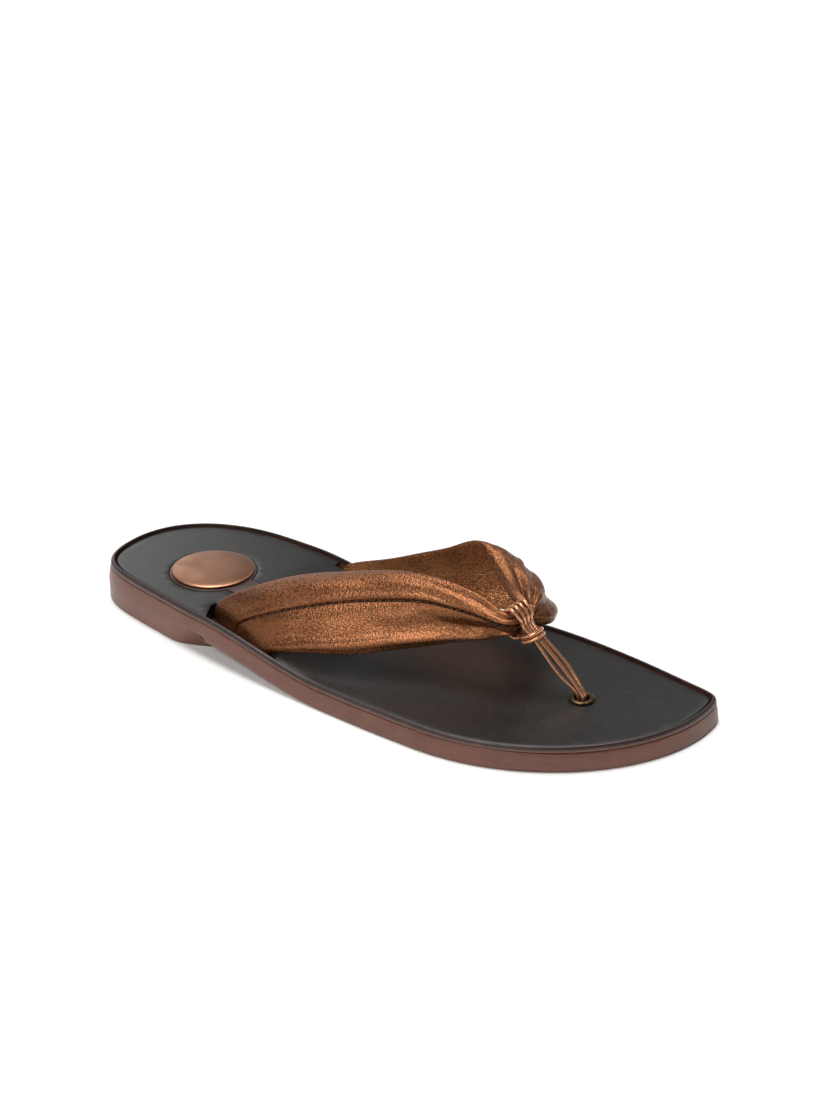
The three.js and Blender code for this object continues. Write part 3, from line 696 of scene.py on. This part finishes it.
def makeFootbed(material):
    bottom, top = coverTop - coverThick, coverTop
    slab = plainObject(prism(footbedBoundary(), bottom, top), "footbedSlab")
    postHole = bmesh.new()
    bmesh.ops.create_cone(postHole, cap_ends=True, segments=48, radius1=footbed["postHole"],
                          radius2=footbed["postHole"], depth=6)
    bmesh.ops.translate(postHole, vec=(eyeletCentre.x, eyeletCentre.y, coverTop),
                        verts=postHole.verts)
    for cutter in (prism(keyholeOutline(sole["gap"] / 2), bottom - 1, top + 1), postHole):
        tool = plainObject(cutter, "cutter")
        modifier = slab.modifiers.new("cut", "BOOLEAN")
        modifier.operation, modifier.object, modifier.solver = "DIFFERENCE", tool, "EXACT"
        applyModifiers(slab)
        bpy.data.objects.remove(tool)
    bm = bmesh.new()
    bm.from_mesh(slab.data)
    bpy.data.objects.remove(slab)
    bmesh.ops.remove_doubles(bm, verts=bm.verts, dist=1e-3)
    bmesh.ops.dissolve_limit(bm, angle_limit=0.01, verts=bm.verts, edges=bm.edges)
    rim = [e for e in bm.edges if len(e.link_faces) == 2 and e.calc_face_angle() > 1
           and all(v.co.z > top - 0.01 for v in e.verts)]
    roundEdges(bm, rim, footbed["edgeRound"])
    sliceAlong(bm, forward, heelEnd, toeTip, footbed["slice"])
    sliceAlong(bm, sideward, -halfBall, halfBall, footbed["slice"])
    layOnSole(bm)
    piece = finishPiece(bm, "footbedLeather", material, ["footbed_cover"], 50)


def makeInlay(material):
    bm = prism(keyholeOutline(0), coverTop - inlay["thick"], coverTop + inlay["proud"])
    rim = [e for e in bm.edges if all(v.co.z > coverTop for v in e.verts)]
    roundEdges(bm, rim, inlay["edgeRound"])
    sliceAlong(bm, forward, heelEnd, toeTip, inlay["slice"])
    layOnSole(bm)
    finishPiece(bm, "keyholeStrip", material, ["keyhole_inlay"], 45)


# the disc: its hollow underneath, its rolled edge, and how much lower its dome is than the CAD one
disc = {"hollow": 0.9, "roll": 0.6, "edge": 0.5, "lower": 0.5, "steps": 21, "around": 96}


def makeMedallion(material):
    radius = (medalHigh.x - medalLow.x) / 2
    low, roll, edge = medalLow.z, disc["roll"], disc["edge"]
    height = medalHigh.z - low - disc["lower"]
    profile = [(0, low + disc["hollow"]), (radius - 2.2, low + disc["hollow"]),
               (radius - 1.6, low), (radius - roll, low)]
    profile += arc(radius - roll, low + edge, roll, -80, 0, 4)
    # a squared-off dome: steep at the edge, nearly flat on top
    for i in range(1, disc["steps"] + 1):
        a = math.radians(90) * i / disc["steps"]
        rise = (height - edge) * math.sin(a) ** 0.9
        profile.append((radius * math.cos(a) ** 0.55, low + edge + rise))
    profile[-1] = (0, low + height)
    bm = spinProfile(profile, (medalCentre.x, medalCentre.y, 0), disc["around"])
    finishPiece(bm, "medallionCap", material, ["medallion_cap"], 60)


eyelet = {"bore": 2.8, "wall": 0.5, "flange": 0.85, "roll": 0.3, "around": 72}


def makeEyelet(material):
    flange = (eyeletHigh.x - eyeletLow.x) / 2
    bore, wall, roll = eyelet["bore"], eyelet["wall"], eyelet["roll"]
    low, top = eyeletLow.z, eyeletHigh.z
    under = top - eyelet["flange"]
    profile = [(bore, low), (bore + wall, low), (bore + wall, under), (flange - roll, under)]
    profile += arc(flange - roll, under + roll, roll, -80, 60, 4)
    middle = (flange + bore) / 2
    profile += [(mix(flange, middle, 0.5), top - 0.08), (middle, top),
                (mix(middle, bore, 0.55), top - 0.12), (bore + 0.12, top - 0.4),
                (bore, top - 0.8), (bore, low)]
    bm = spinProfile(profile, (eyeletCentre.x, eyeletCentre.y, 0), eyelet["around"])
    finishPiece(bm, "toeEyelet", material, ["toe_eyelet"], 50)


strap = {
    "rows": 96, "columns": 64, "tail": 10, "skinOut": 0.15, "panel": 1.1, "lining": 0.6,
    "seam": 0.43, "seamHalf": 0.18, "gatherTurn": 1.2, "gatherHalf": 3.4, "gatherHeight": 8.4,
    "gatherFold": 0.9, "gatherSpread": 1 / 7, "gatherThicker": 0.5,
    "puff": 0.75, "puffSpread": 0.16, "insideFold": 0.55, "fullEdge": 5.2,
    "rolledHem": 0.62, "seamHem": 0.2, "hemTurn": 0.34,
    "liningMargin": 0.36, "easePasses": 30, "easeFirst": 4, "easeFade": 12, "aim": 0.04,
    "columnsRear": 40, "columnsFront": 52, "columnsLining": 48,
    "shoulderEnd": {outerSide: 0.34, innerSide: 0.24},
    "rootIn": {outerSide: (0.6, 6.5), innerSide: (1.0, 2.5)}, "rootRise": 0.13,
}
gather = Vector((eyeletCentre.x - 29, eyeletCentre.y - 0.8, 37.6))
slotFloor = 4.3  # where the straps turn in under the board

# Each row: share of the way from the slot to the gather, distance out to the strap's own side and
# height above the straight line.
strapEdges = {
    outerSide: {
        "rear": [(0.09, 0.6, 6.8), (0.25, -4.3, 11.0), (0.45, -7, 12.2), (0.65, -6, 12.6),
                 (0.86, -0.6, 7.6)],
        "front": [(0.13, 2.4, 0.8), (0.34, 5.4, -0.6), (0.55, 3.4, -1.4), (0.75, 0.8, -2),
                  (0.9, 0.2, -2)],
        "crown": 4, "bias": 1,
    },
    innerSide: {
        "rear": [(0.1, 2.2, 3.1), (0.25, 4.8, 6.0), (0.4, 7.0, 10.3), (0.52, 10.6, 13.8),
                 (0.605, 16.0, 16.8), (0.64, 16.8, 15.6), (0.72, 13.6, 10.6), (0.82, 9.5, 5.4),
                 (0.92, 5.4, 2.0)],
        "front": [(0.12, 4, 1), (0.33, 14, -1), (0.6, 23, -2.6), (0.82, 26, -3), (0.95, 17, -2.4)],
        "crown": 6, "bias": 1.7,
    },
}
# Folds run out from the gather. Each row: place across the strap at the gather and at the slot,
# where it begins along the strap, depth, half width at the gather and how fast it widens.
folds = {
    outerSide: [
        (0.20, 0.02, 0.42, 1.9, 0.55, 0.10),
        (0.60, 0.52, 0.66, 1.2, 0.45, 0.05),
        (0.76, 0.60, 0.36, 2.6, 0.65, 0.13),
        (0.91, 0.86, 0.62, 1.2, 0.45, 0.06),
    ],
    innerSide: [
        (0.24, 0.28, 0.42, 2.6, 0.5, 0.08),
        (0.52, 0.50, 0.36, 3.2, 0.5, 0.08),
        (0.76, 0.74, 0.40, 3.0, 0.5, 0.08),
        (0.90, 0.92, 0.62, 1.4, 0.45, 0.06),
    ],
}


# Long soft swells: place across the strap, height and half width.
swells = {
    outerSide: [(0.02, -0.4, 2.4), (0.22, 0.8, 5.0), (0.39, 0.9, 1.7), (0.43, -0.7, 1.2),
                (0.55, 0.6, 4.0), (0.78, -0.75, 3.4), (0.92, 1.4, 2.4), (1.0, -0.5, 1.2)],
    innerSide: [(0.2, 0.9, 4.5), (0.39, 0.8, 1.7), (0.43, -0.7, 1.2), (0.6, 0.8, 4.0),
                (0.8, -0.7, 2.6), (0.92, 1.2, 2.4), (1.0, -0.5, 1.2)],
}


# a point of a centripetal Catmull-Rom curve through the points
def centripetal(points, t):
    last = len(points) - 1
    place = min(max(t, 0), 1) * last
    i = min(int(place), last - 1)
    w = place - i
    p1, p2 = points[i], points[i + 1]
    p0 = points[i - 1] if i > 0 else 2 * p1 - p2
    p3 = points[i + 2] if i + 2 <= last else 2 * p2 - p1
    d0, d1, d2 = (max((b - a).length, 1e-6) ** 0.5 for a, b in ((p0, p1), (p1, p2), (p2, p3)))
    t1 = ((p1 - p0) / d0 - (p2 - p0) / (d0 + d1) + (p2 - p1) / d1) * d1
    t2 = ((p2 - p1) / d1 - (p3 - p1) / (d1 + d2) + (p3 - p2) / d2) * d1
    return p1 + t1 * w + (3 * (p2 - p1) - 2 * t1 - t2) * w**2 + (2 * (p1 - p2) + t1 + t2) * w**3


def strapCurve(side, which):
    slot = slots[side]
    x = slot[which]
    root = Vector((x, edgeY(side, x) - side * slotInset(side, x), lift(x) + coverTop))
    end = gather.copy()
    if which == "front":
        end.z -= strap["gatherHeight"]
    flat = Vector((end.x - root.x, end.y - root.y, 0))
    sideways = Vector((-flat.y, flat.x, 0)).normalized() * side
    points = [root]
    for share, out, up in strapEdges[side][which]:
        p = root + flat * share + sideways * out
        p.z = mix(root.z, end.z, share) + up
        points.append(p)
    beside = end + Vector((-strap["gatherTurn"], side * strap["gatherHalf"], 0))
    return [*points, beside, end]


# how deep the folds press in, in millimetres
def foldDepth(side, u, v, width):
    depth = 0
    for atGather, atSlot, begins, deep, half, widen in folds[side]:
        grow = smooth((u - begins) / (1 - begins))
        reach = half + widen * (width - strap["gatherHeight"])
        away = (v - mix(atSlot, atGather, u)) * width / reach
        depth += deep * grow * math.exp(-abs(away) ** 1.6)
    return depth


# fine lines along the strap that gather towards its end, and soft dents
def wrinkles(side, u, v, width):
    across = v * width
    fine = noise.noise(Vector((u * 5, across * 0.5, 3 + side)))
    soft = noise.noise(Vector((u * 7, across * 0.12, 9 + side)))
    return 0.28 * fine * smooth((u - 0.3) / 0.5) + 0.45 * soft * smooth(u / 0.2)


# The panels are lightly padded: how much thicker or thinner the outside is here.
def padding(side, u, v, width):
    swell = sum(high * math.exp(-(((v - place) * width / reach) ** 2))
                for place, high, reach in swells[side])
    return swell * smooth(u / 0.25)


# rounds the strap's shoulder, where it bends over from its slot
def easeRows(rows, end):
    last = max(r for r, (_, u, _) in enumerate(rows) if u < end)
    for _ in range(strap["easePasses"]):
        before = [[p.copy() for p in row] for row, _, _ in rows[: last + 2]]
        for r in range(strap["easeFirst"], last):
            part = 0.5 * smooth((last - r) / strap["easeFade"])
            for c, p in enumerate(rows[r][0]):
                rows[r][0][c] = p.lerp((before[r - 1][c] + before[r + 1][c]) / 2, part)


# rows of the straps' middle surface from the outer slot over the gather to the inner slot: for each
# row its points, fold heights and width
def makeStrapBase():
    columns = strap["columns"]
    shares = [i / columns for i in range(columns + 1)]
    halves = {}
    for side in (outerSide, innerSide):
        slot = slots[side]

        def below(inward, z):
            row = []
            for v in shares:
                x = mix(slot["rear"], slot["front"], v)
                y = edgeY(side, x) - side * (slotInset(side, x) + inward)
                row.append(Vector((x, y, lift(x) + z)))
            return row

        rear, front = strapCurve(side, "rear"), strapCurve(side, "front")
        full = slot["front"] - slot["rear"]
        tail = strap["tail"]
        rows = [(below(inward, slotFloor + up), 0, full)
                for inward, up in ((tail, 0), (tail / 2, 0), (0.6, 0.15), (0, 0.9))]
        foot = below(0, coverTop)
        edge = strapEdges[side]
        for i in range(strap["rows"] + 1):
            u = i / strap["rows"]
            a, b = centripetal(rear, u), centripetal(front, u)
            near, far = max(0, u - strap["aim"]), min(1, u + strap["aim"])
            along = centripetal(rear, far) - centripetal(rear, near)
            out = (b - a).cross(along).normalized() * -side
            crown = edge["crown"] * math.sin(math.pi * u ** edge["bias"])
            settle = (1 - u) ** 8
            row = [(a.lerp(b, v) + out * (crown * 4 * v * (1 - v))).lerp(foot[c], settle)
                   for c, v in enumerate(shares)]
            rows.append((row, u, (b - a).length))
        halves[side] = rows
        rearIn, frontIn = strap["rootIn"][side]
        for row, u, _ in rows:  # the root is gathered in narrower than its slot
            hold = (1 - smooth(u / strap["rootRise"])) ** 1.5
            for c, v in enumerate(shares):
                row[c].x += hold * (rearIn * (1 - v) ** 2 - frontIn * v**2)
    for side, rows in halves.items():
        easeRows(rows, strap["shoulderEnd"][side])
    rows = [(row, u, width, outerSide) for row, u, width in halves[outerSide]]
    rows += [(row, u, width, innerSide) for row, u, width in reversed(halves[innerSide][:-1])]
    return rows


strapRows = makeStrapBase()


def strapNormals():
    normals = []
    for r, (row, *_) in enumerate(strapRows):
        before = strapRows[max(r - 1, 0)][0]
        after = strapRows[min(r + 1, len(strapRows) - 1)][0]
        line = []
        for c in range(len(row)):
            across = row[min(c + 1, len(row) - 1)] - row[max(c - 1, 0)]
            line.append(across.cross(after[c] - before[c]).normalized())
        normals.append(line)
    return normals


strapNormal = strapNormals()


# a point off the middle surface of row r, with its folds
def strapPoint(r, v, offset):
    row, u, width, side = strapRows[r]
    place = min(max(v, 0), 1) * strap["columns"]
    c = min(int(place), strap["columns"] - 1)
    w = place - c
    point = row[c].lerp(row[c + 1], w)
    normal = strapNormal[r][c].lerp(strapNormal[r][c + 1], w).normalized()
    if v < 0 or v > 1:  # past an edge, on along the surface
        point = point + (row[c + 1] - row[c]).normalized() * ((v - min(max(v, 0), 1)) * width)
    sink = foldDepth(side, u, v, width) - wrinkles(side, u, v, width)
    puff = 0
    if 0 < v < 1:
        puff = strap["puff"] * math.exp(-(((1 - u) / strap["puffSpread"]) ** 2))
        puff *= (4 * v * (1 - v)) ** 0.6
    lean = 1 if offset > 0 else strap["insideFold"]
    outside = min(max((offset - strap["skinOut"]) / strap["panel"], 0), 1)
    swell = padding(side, u, v, width) * outside
    return point + normal * (offset + swell + (puff if offset > 0 else -puff) - sink * lean)


def thickening(u):
    return 1 + strap["gatherThicker"] * math.exp(-(((1 - u) / strap["gatherSpread"]) ** 2))


# points round one panel's section as (share, offset): the outside from one edge to the other,
# then back along the inside. A rolled edge turns in over the lining; a seam edge drops into it.
def panelSection(first, last, firstRolled, lastRolled, width, u, columns):
    low = strap["skinOut"]
    high = low + strap["panel"] * thickening(u)
    fit = min(1, (last - first) * width / strap["fullEdge"])
    rolledEdge = [(0.26, -0.62), (0.1, -0.5), (-0.06, -0.2), (-0.1, 0.1), (-0.04, high * 0.34),
                  (0.25, high * 0.55), (0.8, high * 0.74), (1.7, high * 0.93)]
    seamEdge = [(0, low + 0.1), (0, high * 0.45), (0.14, high * 0.76), (0.42, high * 0.98),
                (0.9, high * 1.07)]
    start = [(first + d * fit / width, o) for d, o in (rolledEdge if firstRolled else seamEdge)]
    end = [(last - d * fit / width, o) for d, o in (rolledEdge if lastRolled else seamEdge)]
    a, b = start[-1][0], end[-1][0]
    body = [(mix(a, b, i / columns), high) for i in range(1, columns)]
    inside = []
    if lastRolled:
        inside.append((last - strap["hemTurn"] * fit / width, -0.1))
    hemA = first + strap["rolledHem" if firstRolled else "seamHem"] * fit / width
    hemB = last - strap["rolledHem" if lastRolled else "seamHem"] * fit / width
    count = columns // 3
    inside += [(mix(hemB, hemA, i / count), low) for i in range(count + 1)]
    if firstRolled:
        inside.append((first + strap["hemTurn"] * fit / width, -0.1))
    return start + body + end[::-1] + inside


def rearSection(width, u):
    last = strap["seam"] - strap["seamHalf"] / width
    return panelSection(0, last, True, False, width, u, strap["columnsRear"])


def frontSection(width, u):
    first = strap["seam"] + strap["seamHalf"] / width
    return panelSection(first, 1, False, True, width, u, strap["columnsFront"])


def liningSection(width, _):
    margin, columns = strap["liningMargin"] / width, strap["columnsLining"]
    high, low = -strap["skinOut"], -strap["skinOut"] - strap["lining"]
    over = [(mix(margin, 1 - margin, i / columns), high) for i in range(columns + 1)]
    return over + [(v, low) for v, _ in reversed(over)]


foldShade = {"level": 0.5, "gain": 2.2, "passes": 3}


# height of the leather over its smoothed neighbours, so that creases can be painted darker as shade
def storeFolds(piece):
    mesh = piece.data
    bm = bmesh.new()
    bm.from_mesh(mesh)
    bm.normal_update()
    layer = bm.verts.layers.float.new("foldHeight")
    for v in bm.verts:
        around = [e.other_vert(v).co for e in v.link_edges]
        mean = sum(around, Vector()) / len(around)
        span = sum((p - v.co).length for p in around) / len(around)
        rise = (v.co - mean).dot(v.normal) / max(span, 1e-7)
        v[layer] = foldShade["level"] + foldShade["gain"] * rise
    for _ in range(foldShade["passes"]):
        fresh = {}
        for v in bm.verts:
            around = sum(e.other_vert(v)[layer] for e in v.link_edges)
            fresh[v] = (v[layer] + around) / (len(v.link_edges) + 1)
        for v, value in fresh.items():
            v[layer] = value
    bm.to_mesh(mesh)
    bm.free()


# one layer of leather along both straps; sectionOf(width, u) gives the points round it
def makeStrapLayer(name, sectionOf, material, slot, replaced):
    bm = bmesh.new()
    rings = [[strapPoint(r, v, offset) for v, offset in sectionOf(width, u)]
             for r, (_, u, width, _) in enumerate(strapRows)]
    shapeGrid(bm, rings, aroundClosed=True)
    ends = sorted((e for e in bm.edges if e.is_boundary), key=lambda e: e.verts[0].co.y)
    half = len(ends) // 2
    for end in (ends[:half], ends[half:]):
        bmesh.ops.contextual_create(bm, geom=end)
    piece = finishPiece(bm, name, material, [replaced], 60)
    storeFolds(piece)
    return piece


stitch = {
    "length": 2.5, "space": 0.7, "thread": 0.5, "sides": 8, "firstU": 0.10, "lastU": 0.93,
    "height": 0.72, "taper": (0.35, 0.8, 1, 1, 1, 0.8, 0.35),
}


# short stitches that lie in the seam of both straps
def makeStitches(material):
    bm = bmesh.new()
    for side in (outerSide, innerSide):
        line = []
        for r, (_, u, _, rowSide) in enumerate(strapRows):
            if rowSide == side and stitch["firstU"] < u < stitch["lastU"]:
                high = strap["skinOut"] + strap["panel"] * thickening(u) * stitch["height"]
                line.append(strapPoint(r, strap["seam"], high))
        lengths = [0]
        for a, b in zip(line, line[1:]):
            lengths.append(lengths[-1] + (b - a).length)

        def along(distance):
            for i in range(1, len(line)):
                if lengths[i] >= distance:
                    part = (distance - lengths[i - 1]) / (lengths[i] - lengths[i - 1])
                    return line[i - 1].lerp(line[i], part)
            return line[-1]

        pitch = stitch["length"] + stitch["space"]
        for n in range(int(lengths[-1] / pitch)):
            path = [along(n * pitch + stitch["length"] * i / 6) for i in range(7)]
            radii = [stitch["thread"] / 2 * part for part in stitch["taper"]]
            sweep(bm, path, lambda i, a: radii[i], stitch["sides"])
    finishPiece(bm, "seamStitches", material, ["seam_thread"], 80)


# a tube along a path; radiusOf(i, angle) shapes its section
def sweep(bm, path, radiusOf, sides, closed=False, turn=0.0):
    count = len(path)
    tangents = []
    for i in range(count):
        before = path[i - 1] if closed or i else path[0]
        after = path[(i + 1) % count] if closed else path[min(i + 1, count - 1)]
        tangents.append((after - before).normalized())
    normal = tangents[0].orthogonal().normalized()
    frames = []
    for t in tangents:
        normal = (normal - t * normal.dot(t)).normalized()
        frames.append((normal.copy(), t.cross(normal)))
    if closed:  # shares the mismatch of the last frame with the first one out over the loop
        back = (frames[-1][0] - tangents[0] * frames[-1][0].dot(tangents[0])).normalized()
        miss = math.atan2(back.dot(frames[0][1]), back.dot(frames[0][0]))
        turn -= miss / count
    rings = []
    for i, (a, b) in enumerate(frames):
        line = []
        for k in range(sides):
            angle = math.tau * k / sides
            radius = radiusOf(i, angle)
            swung = angle + turn * i
            line.append(path[i] + a * (radius * math.cos(swung)) + b * (radius * math.sin(swung)))
        rings.append(line)
    if closed:
        rings.append(rings[0])
    shapeGrid(bm, rings, aroundClosed=True)
    if not closed:
        bm.verts.ensure_lookup_table()
        for end in (rings[0], rings[-1]):
            bare = [e for e in bm.edges if e.is_boundary]
            seed = min(bare, key=lambda e: (e.verts[0].co - end[0]).length)
            loop, todo = {seed}, [seed]
            while todo:
                edge = todo.pop()
                for v in edge.verts:
                    for other in v.link_edges:
                        if other.is_boundary and other not in loop:
                            loop.add(other)
                            todo.append(other)
            bmesh.ops.contextual_create(bm, geom=list(loop))


cords = {
    "count": 4, "diameter": 1.5, "drawn": 1.34, "steps": 150, "sides": 16, "ridge": 0.04,
    "fan": 1.3,
    "wrap": 1.7, "wrapHalfLength": 3.3, "wrapSteps": 96, "wrapRidge": 0.08, "turns": 2,
}
wrapCentre = Vector((gather.x + 7.0, gather.y - 0.3, gather.z - strap["gatherHeight"] + 1.3))
wrapLong = Vector((0.88, 0, 0.47)).normalized()


def cordPoints(index):
    d = cords["diameter"]
    row = (index - 1.5) * (d + 0.1)
    fan = (index - 1.5) * cords["fan"]
    packX = (1 if index % 2 else -1) * (d / 2 + 0.2)
    apart = (1 if index % 2 else -1) * 0.4
    packY = (-1 if index < 2 else 1) * (d / 2 + 0.08)
    room = strap["panel"] * (1 + strap["gatherFold"]) + 0.3 + d / 2 + 0.9
    bottom, middle = gather.z - strap["gatherHeight"], gather.z - strap["gatherHeight"] * 0.45
    hole, rear = eyeletCentre, gather.y + 0.6
    return [Vector(p) for p in (
        (hole.x + packX, hole.y + packY, 4.2),
        (hole.x + packX, hole.y + packY, coverTop - coverThick),
        (hole.x + packX - 0.5, hole.y + packY, coverTop + 2),
        (hole.x - 8.2 + apart, hole.y + row - 0.4 - (0.7 if index == 0 else -0.2), 19.4 + apart),
        (wrapCentre.x + 1.1, gather.y + row, wrapCentre.z + 0.4),
        (gather.x + room + 0.7, gather.y + row + fan * 0.3, middle),
        (gather.x + room, gather.y + row + fan * 0.7, gather.z - 1),
        (gather.x + 0.4, gather.y + row + fan, gather.z + d / 2 + 1.6),
        (gather.x - room, rear + row + fan, gather.z - 1.2),
        (gather.x - room + 0.2, rear + row + fan * 0.6, bottom + 1.5),
        (gather.x + 0.6, gather.y + row, bottom - 1.7),
        (wrapCentre.x - 1.4, gather.y + row, wrapCentre.z - 0.6),
    )]


def makeCords(material):
    for index in range(cords["count"]):
        points = cordPoints(index)
        path = [centripetal(points, i / cords["steps"]) for i in range(cords["steps"] + 1)]
        radius = cords["drawn"] / 2  # a little thin, so that the laces stay apart

        def section(i, angle, index=index):
            lobes = 1 + cords["ridge"] * math.cos(4 * angle)  # cut square, then rolled
            return radius * lobes * (1 + 0.03 * noise.noise(Vector((i * 0.12, angle, index))))

        bm = bmesh.new()
        sweep(bm, path, section, cords["sides"], turn=0.025)
        finishPiece(bm, f"thongCord{index + 1}", material,
                    [f"thong_cord_{index + 1}"], 70)


def squarer(value):
    return math.copysign(abs(value) ** 0.7, value)


def makeWraps(material):
    d, steps = cords["wrap"], cords["wrapSteps"]
    halfWidth = cords["count"] * (cords["diameter"] + 0.1) / 2 + d / 2
    wide = Vector((0, 1, 0))
    flat = wrapLong.cross(wide)
    for turn in range(cords["turns"]):
        centre = wrapCentre - flat * (turn * (d + 0.2))
        angles = [math.tau * i / steps for i in range(steps)]
        path = [centre + wrapLong * (cords["wrapHalfLength"] * squarer(math.cos(a)))
                + wide * (halfWidth * squarer(math.sin(a))) for a in angles]
        bm = bmesh.new()
        sweep(bm, path, lambda i, a: d / 2 * (1 + cords["wrapRidge"] * math.cos(4 * a)),
              cords["sides"], closed=True)
        finishPiece(bm, f"thongWrap{turn + 1}", material,
                    [f"thong_wrap_{turn + 1}"], 70)


mouldedSole = makeMouldedSole()
edgePaint = makeEdgePaint()
footbedLeather = makeFootbedLeather("platedCalf", "#1a1715", "#110f0e", 0.34)
stripLeather = makeFootbedLeather("brownCalf", "#3d271e", "#2c1a13", 0.45)
foiledLeather = makeFoiledLeather("foiledGoat", "#8a5837", "#794b2d", "#2c150a", 0.36, 0.1, 0.85)
# the lining is the same foiled leather as the panels, drawn lighter and less metallic as painted
# light, where its inside gets little lamp light
foiledLiningPaintedLight = makeFoiledLeather("foiledLiningPaintedLight", "#f2a670", "#c97f4c", "#3c1a0c", 0.3, 0.3, 0.6)
laceLeather = makeLaceLeather()
satinCopper = makeCopper(medalCentre)
antiqueBrass = makeAntiqueBrass()
zincSteel = makeSteel()
bondedThread = makeThread()
print("materials made")

floorMesh = bpy.data.meshes.new("floor")
bm = bmesh.new()
bmesh.ops.create_grid(bm, x_segments=1, y_segments=1, size=60)  # metres, out past every horizon
bm.to_mesh(floorMesh)
bm.free()
floorMesh.materials.append(makeFloor())
floor = addObject("floor", floorMesh)

makeSole(mouldedSole)
makeRim(edgePaint)
print("sole made")
makeFootbed(footbedLeather)
makeInlay(stripLeather)
makeMedallion(satinCopper)
makeEyelet(antiqueBrass)
print("footbed and metal parts made")
strapLayers = [
    ("strapRearPanel", rearSection, foiledLeather, "bronze_leather", "strap_rear_panel"),
    ("strapFrontPanel", frontSection, foiledLeather, "bronze_leather", "strap_front_panel"),
    ("strapLining", liningSection, foiledLiningPaintedLight, "lining_leather", "strap_lining"),
]
panels = [makeStrapLayer(*layer) for layer in strapLayers]
makeStitches(bondedThread)
print("straps made")
makeCords(laceLeather)
makeWraps(laceLeather)
print("toe post made")

hiddenLooks = {
    "bottom_filler": makeLayer("corkFiller", "#5c4a36", "#3f3224", 1.2, 0.2),
    # the insole board's colour is made near black as painted shade, where it shows in the gap
    # beside the slot
    "insole_board": makeLayer("fibreBoardPaintedShade", "#2e2925", "#211d1a", 0.5, 0.05),
    "footbed_foam": makeLayer("latexFoam", "#2a2624", "#1c1917", 0.3, 0.05),
    "medallion_rivet": zincSteel,
    "medallion_washer": zincSteel,
    "thong_anchor": zincSteel,
    "toe_eyelet_washer": antiqueBrass,
}
for node, material in hiddenLooks.items():
    cadNodes[node].data.materials.clear()
    cadNodes[node].data.materials.append(material)
print("hidden layers dressed")
